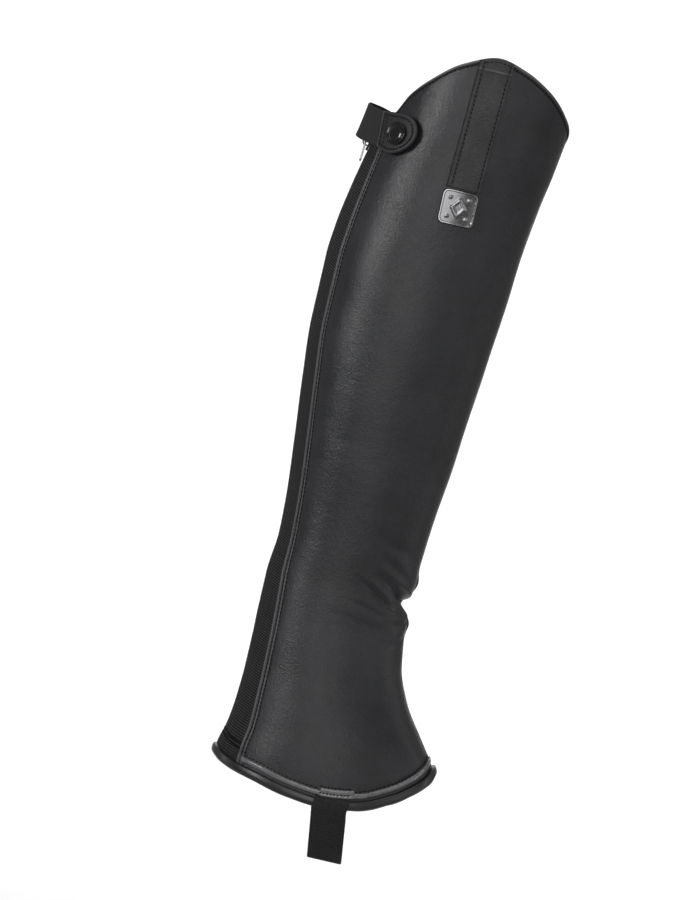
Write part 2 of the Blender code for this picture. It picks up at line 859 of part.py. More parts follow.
def make_slider():
    """The slider: an outer and an inner plate joined by a post above the chain's end."""
    frame = frame_at(CHAIN_MIDDLE, SLIDER_FOOT, 0.0)
    plate_inner = CHAIN_OFF + SLIDER_PLAY
    plate_outer = plate_inner + SLIDER_PLATE
    back_outer = CHAIN_OFF - CHAIN_THICK - SLIDER_PLAY
    back_inner = back_outer - SLIDER_PLATE
    slider = block(
        "zip_slider", frame, SLIDER_WIDE, 0.0, SLIDER_TALL, plate_inner, plate_outer, BLACK_METAL
    )
    bevel = slider.modifiers.new("Bevel", "BEVEL")
    bevel.width = SLIDER_BEVEL * MM
    bevel.segments = 1
    post_foot = ZIP_TOP - SLIDER_FOOT + POST_CLEAR
    parts = (
        block("post", frame, POST_WIDE, post_foot, post_foot + POST_TALL,
              back_outer - POST_BITE, plate_inner + POST_BITE, BLACK_METAL),
        block("back_plate", frame, SLIDER_WIDE, 0.0, SLIDER_TALL, back_inner, back_outer,
              BLACK_METAL),
        bail_arch(frame, plate_outer),
    )
    for part in parts:
        add_boolean(slider, part, "UNION")
    return slider


def bail_arch(frame, seat):
    """The bridge on the slider's outer plate that holds the pull tab's pin."""
    origin, round_leg, up, out = frame
    middle = BAIL_HEIGHT - SLIDER_FOOT
    turns = [math.radians(angle) for angle in range(0, 181, 20)]
    (outer_up, outer_out), (inner_up, inner_out) = (
        (half, BAIL_OFF + crown - seat) for half, crown in (BAIL_OUTSIDE, BAIL_INSIDE)
    )
    outline = [(-outer_up, -POST_BITE)]
    outline += [(-outer_up * math.cos(turn), outer_out * math.sin(turn)) for turn in turns]
    outline += [(outer_up, -POST_BITE), (inner_up, -POST_BITE)]
    outline += [(inner_up * math.cos(turn), inner_out * math.sin(turn)) for turn in turns]
    outline += [(-inner_up, -POST_BITE)]
    rings = []
    for a in (-BAIL_WIDE / 2, BAIL_WIDE / 2):
        rings.append(
            [origin + a * round_leg + (middle + b) * up + (seat + c) * out for b, c in outline]
        )
    return sweep("bail", rings, BLACK_METAL)


def make_pull():
    """The pull tab: a looped plate that hangs from the bail, its origin on the hinge axis."""
    hinge, round_leg, up, out = frame_at(CHAIN_MIDDLE, BAIL_HEIGHT, BAIL_OFF)
    lean = math.radians(PULL_LEAN)
    down = -(math.cos(lean) * up + math.sin(lean) * out)
    face = math.cos(lean) * out - math.sin(lean) * up
    foot = PULL_TALL - PULL_BAR
    outlines = (
        rounded_loop(PULL_WIDE / 2, -PULL_BAR, foot, PULL_CORNER),
        rounded_loop(PULL_EYE_HALF, PULL_BAR, PULL_EYE, PULL_EYE_CORNER),
        rounded_loop(PULL_SLOT_HALF, PULL_EYE + PULL_RIM, foot - PULL_RIM, PULL_SLOT_CORNER),
    )
    mesh = bmesh.new()
    backs, fronts = (
        [
            [mesh.verts.new((a * round_leg + b * down + c * face) * MM) for a, b in outline]
            for outline in outlines
        ]
        for c in (-PULL_THICK / 2, PULL_THICK / 2)
    )
    for back, front in zip(backs, fronts):
        join_loops(mesh, back, front)
    for side in (backs, fronts):
        edges = [
            mesh.edges.get(pair) for ring in side for pair in zip(ring, ring[1:] + ring[:1])
        ]
        bmesh.ops.triangle_fill(mesh, use_beauty=True, edges=edges, normal=face)
    pull = solid("zip_pull", mesh, SILVER)
    pull.location = place(*hinge)
    return pull


def rounded_loop(half, low, high, corner):
    """Corners of a round-cornered rectangle, (across, down), anticlockwise."""
    points = []
    for centre_a, centre_b, first in (
        (half - corner, high - corner, 0),
        (-half + corner, high - corner, 90),
        (-half + corner, low + corner, 180),
        (half - corner, low + corner, 270),
    ):
        for angle in (0, 30, 60, 90):
            turn = math.radians(first + angle)
            points.append(
                (centre_a + corner * math.cos(turn), centre_b + corner * math.sin(turn))
            )
    return points


def make_zip_box():
    """The box at the foot of the zip that the slider leaves from."""
    foot = below_hem(level(CHAIN_MIDDLE), RAND_TOP - GAP)
    frame = frame_at(CHAIN_MIDDLE, foot, 0.0)
    block("zip_box", frame, BOX_WIDE, -BOX_TALL, -BOX_GAP, *BOX_OFF, ZIP_TEETH)


def make_stirrup_strap():
    """Elastic webbing from the hem on the outer side, under the foot, to the inner side."""
    lanes = np.linspace(-STRAP_WIDE / 2, STRAP_WIDE / 2, STRAP_LANES)
    half = []
    for down, off in STRAP_ROUTE:
        row = []
        for lane in lanes:
            around = outer_at(STRAP_ACROSS + lane, 0.0)
            height = below_hem(level(around), down)
            row.append(Vector(on_leg(around, height, off + STRAP_THICK / 2)))
        half.append(row)
    last = half[-1]
    bottom = STRAP_BOTTOM + STRAP_THICK / 2
    for share in STRAP_SHARES:
        fall = 1 - share ** STRAP_SAG
        half.append([
            Vector((
                point.x + STRAP_FORWARD * fall,
                point.y * share,
                point.z + (bottom - point.z) * fall,
            ))
            for point in last
        ])
    mirrored = [
        [Vector((point.x, -point.y, point.z)) for point in row] for row in reversed(half[:-1])
    ]
    path = half + mirrored
    outer, inner = [], []
    for number, row in enumerate(path):
        before = path[max(number - 1, 0)]
        after = path[min(number + 1, len(path) - 1)]
        for lane, point in enumerate(row):
            along = after[lane] - before[lane]
            aside = row[min(lane + 1, len(row) - 1)] - row[max(lane - 1, 0)]
            out = aside.cross(along).normalized()
            outer.append(point + out * STRAP_THICK / 2)
            inner.append(point - out * STRAP_THICK / 2)
    return wall(
        "stirrup_strap", outer, inner, grid_quads(len(path), len(lanes)), BLACK_ELASTIC
    )


def main():
    for item in list(bpy.data.objects):
        bpy.data.objects.remove(item, do_unlink=True)
    make_leather_panel()
    make_back()
    make_hem()
    make_band()
    make_badge()
    make_tab()
    make_press_stud()
    make_slider()
    make_pull()
    make_zip_box()
    make_stirrup_strap()


main()
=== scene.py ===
"""Half chap for the right lower leg, dressed: leather, elastic gusset, zip, closing tab, hem
and stirrup strap.

Every cloth piece is laid on one leg surface. A place on it is how far round it lies, in
millimetres from the line down the back of the leg, with plus towards the outer side, and its
height above the hem's datum. The surface's tables are in millimetres and repeat the frame's own.
"""
import math

import bmesh
import bpy
import numpy as np
from bpy.props import FloatProperty, FloatVectorProperty, PointerProperty
from mathutils import Matrix, Vector


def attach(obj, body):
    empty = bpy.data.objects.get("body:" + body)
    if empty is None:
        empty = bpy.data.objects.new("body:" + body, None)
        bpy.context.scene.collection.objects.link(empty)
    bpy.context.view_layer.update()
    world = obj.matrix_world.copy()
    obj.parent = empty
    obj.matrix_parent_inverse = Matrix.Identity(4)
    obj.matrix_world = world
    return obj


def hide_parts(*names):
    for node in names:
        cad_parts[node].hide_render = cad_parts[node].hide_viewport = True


bl_info = {
    "name": "Half Chap",
    "version": (1, 0, 0),
    "blender": (4, 5, 0),
    "location": "View3D > Sidebar > Half Chap",
    "description": "Builds a leather half chap with its elastic gusset, zip, tab and strap",
    "category": "Add Mesh",
}

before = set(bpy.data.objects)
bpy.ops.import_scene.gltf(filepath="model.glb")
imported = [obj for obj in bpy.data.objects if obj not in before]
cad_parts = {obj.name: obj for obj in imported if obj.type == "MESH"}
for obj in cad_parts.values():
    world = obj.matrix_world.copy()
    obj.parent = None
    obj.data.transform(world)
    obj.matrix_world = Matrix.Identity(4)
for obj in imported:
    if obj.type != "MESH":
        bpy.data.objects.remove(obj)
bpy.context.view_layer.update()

MM = 0.001

# The origin: the middle of the calf where it is fullest, above the hem's datum.
CALF_MIDDLE = -23.0
CALF_HEIGHT = 320.0

# How thick the cloths are, and the gap between pieces that lie on each other.
LEATHER = 1.8
ELASTIC = 1.3
TAPE = 0.9
GAP = 0.3

SECTIONS = (
    # height, shin, back, half_width, gusset
    (470, 57.5, -62.0, 57.0, 27.0),
    (440, 53.2, -64.5, 56.8, 27.0),
    (420, 50.0, -67.2, 56.5, 28.0),
    (400, 47.4, -70.4, 56.2, 30.0),
    (380, 43.9, -74.7, 55.8, 32.0),
    (360, 41.3, -78.6, 55.4, 33.0),
    (340, 39.0, -81.7, 55.0, 33.5),
    (320, 37.3, -83.3, 54.6, 33.0),
    (280, 34.0, -83.3, 53.2, 32.0),
    (240, 30.4, -80.5, 50.4, 31.5),
    (200, 26.4, -76.6, 46.8, 30.5),
    (160, 22.2, -73.3, 43.0, 29.0),
    (140, 20.8, -72.7, 41.2, 28.5),
    (113, 19.6, -74.9, 39.4, 30.0),
    (90, 21.0, -74.9, 39.6, 31.5),
    (72, 23.4, -74.6, 40.8, 32.5),
    (51, 32.0, -74.7, 43.0, 33.5),
    (32, 44.8, -75.6, 45.8, 35.0),
    (16, 56.0, -77.4, 47.8, 37.0),
    (0, 62.5, -81.2, 49.4, 39.0),
    (-30, 67.0, -84.0, 50.6, 41.0),
)
WIDEST = 0.44
SQUARENESS = 2.15

TOP_EDGE = (
    # share of the girth from the back line, height
    (0.000, 416.5),
    (0.088, 417.5),
    (0.113, 430.7),
    (0.154, 444.8),
    (0.194, 456.3),
    (0.256, 465.3),
    (0.303, 461.2),
    (0.365, 451.2),
    (0.435, 437.0),
    (0.500, 427.8),
    (0.560, 423.6),
    (0.640, 421.5),
    (0.820, 420.5),
    (0.890, 417.4),
    (0.960, 416.8),
    (1.000, 416.5),
)
HEM = (
    # share of the girth from the back line, height
    (0.000, 5.0),
    (0.034, 3.0),
    (0.070, -0.8),
    (0.106, -4.3),
    (0.145, -7.5),
    (0.200, -12.4),
    (0.254, -14.5),
    (0.308, -11.7),
    (0.367, -2.0),
    (0.405, 6.4),
    (0.441, 13.9),
    (0.475, 19.6),
    (0.500, 21.3),
)

# Main folds round the ankle. side 1 is the outer side, -1 the inner; start and end are how far
# back from the shin line a fold runs; depth is plus for a valley and minus for a ridge.
FOLDS = (
    # side, height, start, end, rise, depth, spread
    (1, 113.0, 0, 54, 14.0, 5.4, 4.8),
    (-1, 113.0, 0, 46, 9.0, 5.4, 4.8),
    (1, 127.5, 0, 36, 8.0, -1.0, 6.0),
    (-1, 127.5, 0, 30, 5.0, -1.0, 6.0),
    (1, 100.5, 0, 42, 8.0, -0.9, 5.0),
    (-1, 100.5, 0, 36, 6.0, -0.9, 5.0),
    (1, 106.0, 6, 66, 18.0, 1.8, 3.8),
    (1, 77.0, 8, 42, 5.0, 0.9, 3.6),
    (-1, 134.0, 12, 66, 10.0, 1.4, 4.2),
    (-1, 86.0, 10, 58, -6.0, 1.2, 4.0),
)
# Creases that the leather alone has, each a path of places: how far back from the shin line and
# how high. A crease is a valley with a ridge above it.
CREASES = (
    # side, path, depth, spread, ridge
    (1, ((1, 113.2), (12, 115.2), (22, 118.6), (33, 122.6), (42, 126.8), (50, 130.5)),
     1.9, 1.7, 1.5),
    (1, ((23, 103.0), (29, 107.2), (36, 112.2), (45, 116.6), (54, 121.0), (62, 124.5)),
     1.2, 1.5, 0.6),
    (1, ((2, 103.0), (12, 100.6), (22, 98.4), (36, 97.4)), 0.5, 1.6, 0.4),
    (1, ((5, 91.0), (16, 87.6), (28, 84.4), (36, 83.0)), 0.7, 2.2, 0.5),
    (1, ((30, 100.0), (40, 103.0), (52, 106.0), (66, 108.5)), 0.35, 1.6, 0.2),
    (1, ((16, 125.0), (26, 130.0), (36, 134.6), (52, 139.0)), 0.4, 2.2, 0.25),
    (1, ((14, 141.0), (36, 146.0), (62, 153.0)), 0.4, 3.4, 0.1),
    (1, ((18, 90.0), (50, 94.0), (84, 100.0)), 0.45, 3.6, 0.1),
    (1, ((30, 62.0), (60, 64.0), (92, 67.0)), 0.35, 4.6, 0.1),
    (-1, ((1, 113.2), (12, 115.0), (24, 117.6), (38, 121.5)), 1.6, 1.8, 1.1),
    (-1, ((20, 103.0), (32, 107.6), (46, 112.4), (62, 116.0)), 0.9, 1.7, 0.4),
    (-1, ((3, 102.0), (14, 99.5), (30, 98.0)), 0.5, 1.7, 0.3),
    (-1, ((46, 177.0), (70, 171.0), (96, 167.5), (128, 168.5)), 0.7, 4.0, 0.3),
    (-1, ((58, 163.5), (90, 160.0), (134, 158.5)), 0.6, 3.2, 0.25),
    (-1, ((70, 192.0), (100, 186.5), (126, 184.0)), 0.4, 3.0, 0.15),
    (-1, ((40, 98.0), (76, 100.0), (118, 103.5)), 0.5, 3.8, 0.15),
    (-1, ((58, 61.5), (90, 64.0), (128, 68.0)), 0.6, 3.8, 0.2),
    (-1, ((66, 49.0), (92, 50.5), (120, 52.0)), 0.35, 3.0, 0.15),
)
# The slow unevenness of leather that has been worn: waves round and along the leg.
WAVES = (
    # round, along, turn, lift
    (83.0, 151.0, 0.4, 0.16),
    (57.0, -97.0, 2.1, 0.10),
    (131.0, 61.0, 4.4, 0.12),
)

# The back closing, round from the back line, and how far its outer faces stand off the leg.
OUTER_TAPE = (-3.3, 0.7)
CHAIN = (-9.6, -3.6)
INNER_TAPE = (-12.9, -9.9)
INNER_EDGE = -13.2
ZIP_TOP = 392.5
CHAIN_MIDDLE = (CHAIN[0] + CHAIN[1]) / 2
CHAIN_THICK = 2.2
CHAIN_OFF = -0.2
TAPE_OFF = -0.6
GUSSET_OFF = -0.3

# The panel's turned back edges, its rows of sewing and its dart.
TURNED_WIDTH = 2.4
TURNED_RISE = 0.5
TURNED_FLAT = 3.3
EDGE_ROWS = (2.75, 5.0)
TOP_ROW = 3.0
HEM_ROW = 1.4
DART_ROW = 3.0
DART_TOP = 93.0
DART_FADE = 14.0
# How much higher the hem's sewing runs where it holds the end of the strap.
STRAP_STEP = 1.7
# The gusset's ribs, and its two rows of sewing above the rand.
RIB_PITCH = 1.6
RIB_LEAN = math.radians(15.0)
RIB_SAMPLES = 4
RIB_HEIGHT = 0.45
GUSSET_ROWS = (8.6, 11.4)

# The glossy strip along the hem, with a wave a stitch along its upper edge, and the rand. The
# rand's inner lip reaches up to the pieces that stand on it.
STRIP_THICK = 1.0
STRIP_INSET = 4.0
STRIP_WAVES = 104
STRIP_FACE = (
    # down from the hem line, share of the thickness
    (0.0, 0.0), (0.0, 0.40), (0.12, 0.66), (0.4, 0.88), (0.7, 0.98), (1.0, 1.03), (1.4, 1.03),
    (1.8, 0.97), (2.2, 0.86), (2.55, 0.72), (2.85, 0.54), (3.0, 0.3), (3.0, 0.0),
)
STRIP_FACE_AT_STRAP = (
    (-1.9, 0.0), (-1.9, 0.5), (-1.75, 0.85), (-1.3, 1.15), (-0.6, 1.3), (0.1, 1.15), (0.7, 0.85),
    (1.2, 0.45), (1.7, 0.4), (2.2, 0.6), (2.9, 0.62), (3.3, 0.4), (3.4, 0.0),
)
RAND_FACE = (
    # down from the rand's upper edge, share of how far it stands out
    (0.0, 0.1), (0.0, 0.45), (0.15, 0.75), (0.5, 0.98), (0.9, 1.04), (1.5, 1.06), (2.3, 1.1),
    (3.1, 1.12), (4.0, 1.06), (4.8, 0.85), (5.3, 0.6), (5.65, 0.3), (5.8, 0.0),
)
RAND_LIP = 0.28
RAND_TOP = 5.2
RAND_BOTTOM = 11.0
RAND_INSIDE = -2.3
RAND_PROUD = 1.7
RAND_PROUD_SHIN = 2.7
RAND_SHIN_SPREAD = 0.12

# The band's edges, each through two points of a height and an X, its sewing's distances in from
# them, its patch and the badge.
BAND_LEFT = ((462.0, -14.9), (378.0, -18.1))
BAND_RIGHT = ((462.0, 6.8), (378.0, 3.4))
BAND_ROWS = (3.2, 2.0)
BAND_THICK = 1.1
BAND_TRIM = 0.6
BAND_FOOT = 378.4
PATCH_FOOT = 455.5
BADGE_ACROSS = (-19.2, 3.4)
BADGE_HEIGHTS = (355.0, 377.6)
BADGE_CORNER = 3.5
BADGE_THICK = 2.0
BADGE_LOZENGE = (5.4, 7.0)
BADGE_DOTS_AT = 6.2
BADGE_DOT_RADIUS = 1.1

# The closing tab's middle line, its outline and sewing, and the press stud's cap.
TAB_LINE = (
    # round, height, off the leather
    (-27.0, 407.2, 0.35),
    (-18.0, 407.8, 0.9),
    (-12.0, 408.2, 4.6),
    (-6.0, 408.2, 8.6),
    (0.0, 407.4, 9.6),
    (10.0, 406.4, 9.0),
    (22.0, 405.2, 6.9),
    (32.0, 404.4, 4.9),
    (49.0, 403.2, 2.9),
    (63.0, 402.6, 2.2),
)
TAB_ROW = 2.4
TAB_SLOPE = 0.12
TAB_LEAN = -0.39
TAB_HALF_HEIGHT = 11.4
TAB_END_HALF_HEIGHT = 13.4
TAB_LEATHER = 2.2
TAB_ELASTIC_SPAN = (-27.0, 40.3)
TAB_LEATHER_SPAN = (35.3, 61.5)
STUD_ROUND = 49.5
CAP_RADIUS = 7.5
CAP_TALL = 1.6
CAP_STEPS = (
    # each ring of the cap's face: how far in, how far out
    (0.9, 0.0), (0.4, -0.5), (0.35, 0.05), (0.5, 0.42), (0.7, 0.24), (0.9, 0.18), (1.0, 0.11),
    (1.1, 0.05),
)
BEADS = 20
BEAD_RADIUS = 0.34
BEAD_RING = 4.0

# The slider with its bridge, the zip's teeth and the box at its foot.
SLIDER_WIDE = 8.6
SLIDER_TALL = 11.0
SLIDER_PLATE = 1.0
SLIDER_FOOT = 390.0
SLIDER_PLAY = 0.5
BAIL_HEIGHT = 395.5
BAIL_OFF = 3.5
TOOTH_PITCH = 2.6
TOOTH_WIDE = 4.0
TOOTH_TALL = 1.45

BOX_WIDE = 6.0
BOX_TALL = 6.2
BOX_GAP = 0.6
BOX_OFF = (-1.8, 0.4)

# The stirrup strap, and how the glossy strip rises over its ends.
STRAP_WIDE = 22.0
STRAP_THICK = 1.3
STRAP_ACROSS = 1.0
STRAP_ROUTE = (
    # down from the hem line, inner face off the leather
    (0.5, 0.3),
    (1.8, 0.3),
    (3.2, 0.4),
    (4.4, 1.3),
    (5.6, 2.3),
    (8.0, 2.5),
    (10.4, 2.3),
    (12.0, 1.2),
)
STRAP_BOTTOM = -59.0
STRAP_FORWARD = 4.4
STRAP_SAG = 2.15
STRAP_FOLD_AT = 13.4
WEB_RIB = 1.25
STRIP_CLEAR = 5.0
STRIP_RAMP = 5.0

# The camera looks squarely at the outer side and is rolled, so that the chap leans.
VIEW_CENTRE = (-0.0253, 0.0, -0.121)
VIEW_HEIGHT = 0.576
VIEW_DISTANCE = 10.0
VIEW_ROLL = math.radians(13.0)
SENSOR = 24.0
FLOOR = -0.50
# The backdrop's floor runs back to its bend, which turns up into its wall.
BACKDROP_HALF_WIDE = 0.6
BACKDROP_FRONT = -6.0
BACKDROP_BEND_AT = 0.9
BACKDROP_BEND = 1.2
BACKDROP_TALL = 5.0
# Seen past the backdrop the surroundings are pale, while they light the piece only dimly.
DIM_WORLD = 0.22
SEEN_WORLD = 0.9
MIDDLE = (0.0, 0.0, -0.05)
CALF = (0.0, 0.0, 0.14)
LIGHTS = (
    # name, place, target, size, power, spread; the washes light only the backdrop, because the
    # piece lies behind them
    ("key", (-1.23, -1.17, 0.24), CALF, (0.5, 0.5), 1.75, 60.0),
    ("front", (0.05, -1.6, 0.2), CALF, (1.0, 1.0), 2.0, 80.0),
    ("fill", (2.3, -1.5, 0.3), CALF, (2.4, 1.8), 4.3, 100.0),
    ("top", (0.0, -0.6, 2.2), MIDDLE, (1.6, 1.6), 16.0, 180.0),
    ("wash left", (-1.5, 0.35, 0.3), (-1.1, 1.9, -0.05), (0.7, 1.6), 32.0, 180.0),
    ("wash right", (1.5, 0.35, 0.3), (1.1, 1.9, -0.05), (0.7, 1.6), 32.0, 180.0),
)


# ---------------------------------------------------------------- the leg's surface


class Curve:
    """A smooth curve through a table's rows that never swings past them."""

    def __init__(self, rows, value):
        ordered = sorted(rows)
        self.x = np.array([row[0] for row in ordered], float)
        self.y = np.array([row[value] for row in ordered], float)
        steps = np.diff(self.y) / np.diff(self.x)
        before, after = steps[:-1], steps[1:]
        same_way = before * after > 0
        total = np.where(same_way, before + after, 1.0)
        inner = np.where(same_way, 2 * before * after / total, 0.0)
        self.slope = np.concatenate((steps[:1], inner, steps[-1:]))

    def __call__(self, at):
        at = np.clip(at, self.x[0], self.x[-1])
        row = np.clip(np.searchsorted(self.x, at, side="right") - 1, 0, len(self.x) - 2)
        span = self.x[row + 1] - self.x[row]
        t = (at - self.x[row]) / span
        start = self.y[row] + t * t * (3 - 2 * t) * (self.y[row + 1] - self.y[row])
        bend = t * (1 - t) ** 2 * self.slope[row] - t * t * (1 - t) * self.slope[row + 1]
        return start + span * bend


SHIN_X, BACK_X, HALF_WIDTH, GUSSET = (Curve(SECTIONS, value) for value in (1, 2, 3, 4))
TOP_LINE = Curve(TOP_EDGE, 1)
HEM_LINE = Curve(HEM, 1)
TAB_HEIGHT = Curve(TAB_LINE, 1)
TAB_OFF = Curve(TAB_LINE, 2)


def smooth(low, high, at):
    """0 up to low, 1 from high, and a soft step between."""
    t = np.clip((at - low) / (high - low), 0.0, 1.0)
    return t * t * (3 - 2 * t)


def bell(at, middle, width):
    """1 at the middle, falling softly to 0 about two widths away on both sides."""
    return np.exp(-(((at - middle) / width) ** 2))


class Leg:
    """The leg's surface, kept as level cuts a millimetre apart, each with even stations."""

    STATIONS = 720

    def __init__(self):
        self.floor = -80.0
        self.levels = np.arange(self.floor, 490.0)
        turn = np.linspace(0.0, 2 * math.pi, self.STATIONS + 1)
        along, aside = -np.cos(turn), np.sin(turn)
        round_along = np.sign(along) * np.abs(along) ** (2 / SQUARENESS)
        round_aside = np.sign(aside) * np.abs(aside) ** (2 / SQUARENESS)
        shares = np.linspace(0.0, 1.0, self.STATIONS + 1)
        girths, xs, ys = [], [], []
        for height in self.levels:
            shin, back = SHIN_X(height), BACK_X(height)
            widest = back + WIDEST * (shin - back)
            x = widest + np.where(along > 0, shin - widest, widest - back) * round_along
            y = -HALF_WIDTH(height) * round_aside
            arc = np.concatenate(([0.0], np.cumsum(np.hypot(np.diff(x), np.diff(y)))))
            girths.append(arc[-1])
            xs.append(np.interp(shares, arc / arc[-1], x))
            ys.append(np.interp(shares, arc / arc[-1], y))
        self.girths = np.array(girths)
        self.x, self.y = np.array(xs), np.array(ys)

    def girth(self, height):
        return np.interp(height, self.levels, self.girths)

    def bare(self, around, height):
        """Points of the smooth surface, in the tables' millimetres."""
        around, height = np.broadcast_arrays(np.asarray(around, float), height)
        row = np.clip(height - self.floor, 0, len(self.levels) - 1.001)
        low = row.astype(int)
        up = row - low
        station = around / self.girth(height) % 1.0 * self.STATIONS
        left = np.minimum(station.astype(int), self.STATIONS - 1)
        on = station - left

        def read(table):
            below = table[low, left] * (1 - on) + table[low, left + 1] * on
            above = table[low + 1, left] * (1 - on) + table[low + 1, left + 1] * on
            return below * (1 - up) + above * up

        return np.stack((read(self.x), read(self.y), height), axis=-1)

    def outward(self, around, height):
        """Unit normals of the surface."""
        around, height = np.broadcast_arrays(np.asarray(around, float), height)
        reach = 1.5
        sideways = self.bare(around + reach, height) - self.bare(around - reach, height)
        upwards = self.bare(around, height + reach) - self.bare(around, height - reach)
        normal = np.cross(sideways, upwards)
        return normal / np.linalg.norm(normal, axis=-1, keepdims=True)

    def lift(self, folds, around, height):
        """How far a table of folds lifts the leather: minus in a valley."""
        around, height = np.broadcast_arrays(np.asarray(around, float), height)
        middle = self.girth(height) / 2
        total = np.zeros(around.shape)
        for side, level, start, end, rise, depth, spread in folds:
            behind = side * (middle - around)
            along = np.clip((behind - start) / (end - start), 0.0, 1.0)
            if start == 0:
                strength = np.cos(math.pi / 2 * along) ** 2
            else:
                strength = np.sin(math.pi * np.sqrt(along)) ** 2
            line = level + rise * along ** 1.5
            within = (behind >= start) & (behind < end)
            total -= depth * strength * within * bell(height, line, spread)
        return total

    def on(self, around, height, off=0.0):
        """Points on the folded surface, moved out by off."""
        lift = np.asarray(off + self.lift(FOLDS, around, height))[..., None]
        return self.bare(around, height) + lift * self.outward(around, height)

    def outer_at(self, across, height):
        """How far round the outer side a point lies that is seen at this X."""
        across, height = np.broadcast_arrays(np.asarray(across, float), height)
        found = np.empty(across.shape)
        half = self.STATIONS // 2
        for at in np.ndindex(across.shape):
            row = int(round(float(height[at] - self.floor)))
            station = np.interp(across[at], self.x[row, : half + 1], np.arange(half + 1))
            found[at] = station / self.STATIONS * self.girth(height[at])
        return found


leg = Leg()


def level(value):
    """A line that keeps one distance round from the back line."""
    return lambda height: value + 0.0 * height


def outer_edge(inset):
    """The line that lies inset in from the leather's edge beside the gusset."""
    return lambda height: GUSSET(height) + inset


def inner_edge(inset):
    """The line that lies inset in from the leather's edge beside the zip."""
    return lambda height: leg.girth(height) + INNER_EDGE - inset


def shin_line(aside):
    """The line that lies aside from the middle of the shin, with plus towards the inner side."""
    return lambda height: leg.girth(height) / 2 + aside


def between(share, start, end):
    """The lines that keep their shares of the way from one line to another."""
    return lambda height: start(height) + share * (end(height) - start(height))


def settle(line, around, height):
    """Where columns that run round(height) meet an edge line, from a first guess."""
    for _ in range(6):
        height = line(around(height) / leg.girth(height) % 1.0)
    return height


# First guesses of the top edge's height: anywhere on it, and at its gusset, tapes and band.
TOP_GUESS = 430.0
GUSSET_TOP_GUESS = 419.0
TAPE_TOP_GUESS = 420.0
BAND_TOP_GUESS = 460.0


def hem_at(around, guess=0.0):
    """Heights where columns that run round(height) meet the hem line."""
    return settle(lambda share: HEM_LINE(np.minimum(share, 1 - share)), around, guess)


def below_hem(around, down, guess=0.0):
    """Heights that lie down millimetres below the hem line, square to it."""
    reach = 2.0
    line = hem_at(around, guess)
    slope = (hem_at(lambda height: around(height) + reach, guess) - line) / reach
    return line - down * np.sqrt(1 + slope * slope)


def foot_at(around, guess=0.0):
    """Heights where the pieces that stand on the rand end, a gap above it."""
    return below_hem(around, RAND_TOP - GAP, guess)


def top_at(around, guess=TOP_GUESS):
    """Heights where columns that run round(height) meet the top edge."""
    return settle(TOP_LINE, around, guess)


def placed(points):
    """The tables' millimetres as the frame's metres."""
    points = np.asarray(points, float)
    return (points - (CALF_MIDDLE, 0.0, CALF_HEIGHT)) * MM


# ---------------------------------------------------------------- meshes


def closed_mesh(name, points, faces):
    """A mesh from points in metres, with its faces turned outward."""
    mesh = bpy.data.meshes.new(name)
    mesh.from_pydata(points, [], faces)
    whole = bmesh.new()
    whole.from_mesh(mesh)
    bmesh.ops.recalc_face_normals(whole, faces=whole.faces)
    whole.to_mesh(mesh)
    whole.free()
    return mesh


def new_piece(name, mesh, look, sharp=40.0):
    """Adds a mesh to the scene, smooth but for edges that turn more than sharp degrees."""
    piece = bpy.data.objects.new(name, mesh)
    bpy.context.scene.collection.objects.link(piece)
    mesh.shade_smooth()
    mesh.set_sharp_from_angle(angle=math.radians(sharp))
    mesh.materials.append(look)
    return piece


def assigned(piece, slot, *nodes):
    """Puts a piece on the chap, in place of the frame's nodes where it has some. slot is not
    used.
    """
    if nodes:
        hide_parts(*nodes)
    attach(piece, "chap")
    return piece


def wall(name, outer, inner, look, flat=None, shade=None, weld=False, sharp=40.0):
    """A closed piece between two grids of points. flat is the flat lie of the points, which
    becomes their UVs. The attribute inside tells the inner face from the outer. On the outer
    face, shade is painted shade, up to 1 in the bottom of a hollow, and a painted highlight,
    down to -1 on an edge."""
    columns, rows = outer.shape[:2]
    count = columns * rows
    number = np.arange(count).reshape(columns, rows)
    corners = (number[:-1, :-1], number[1:, :-1], number[1:, 1:], number[:-1, 1:])
    quads = np.stack(corners, -1).reshape(-1, 4)
    border = np.concatenate((number[:, 0], number[-1, 1:], number[-2::-1, -1], number[0, -2:0:-1]))
    following = np.roll(border, -1)
    rim = np.stack((following, border, border + count, following + count), -1)
    faces = np.concatenate((quads, quads[:, ::-1] + count, rim))
    points = placed(np.concatenate((outer.reshape(-1, 3), inner.reshape(-1, 3))))
    mesh = bpy.data.meshes.new(name)
    mesh.from_pydata(points.tolist(), [], faces.tolist())
    inside = mesh.attributes.new("inside", "FLOAT", "POINT")
    inside.data.foreach_set("value", np.repeat((0.0, 1.0), count))
    if shade is not None:
        painted_layer = mesh.attributes.new("shade", "FLOAT", "POINT")
        painted_layer.data.foreach_set("value", np.concatenate((shade.ravel(), 0.0 * shade.ravel())))
    if flat is not None:
        lie = np.concatenate((flat.reshape(-1, 2), flat.reshape(-1, 2))) * MM
        layer = mesh.uv_layers.new(name="lie")
        corner_points = np.empty(len(mesh.loops), int)
        mesh.loops.foreach_get("vertex_index", corner_points)
        layer.data.foreach_set("uv", lie[corner_points].ravel())
    if weld:
        bare = bmesh.new()
        bare.from_mesh(mesh)
        bmesh.ops.remove_doubles(bare, verts=bare.verts, dist=1e-6)
        bmesh.ops.dissolve_degenerate(bare, edges=bare.edges, dist=1e-7)
        bare.to_mesh(mesh)
        bare.free()
    return new_piece(name, mesh, look, sharp)


def laid(name, around, height, outer_off, inner_off, look, **more):
    """A wall on the leg from grids of how far round and how high its points lie."""
    outer = leg.on(around, height, outer_off)
    inner = leg.on(around, height, inner_off)
    return wall(name, outer, inner, look, flat=np.stack((around, height), -1), **more)


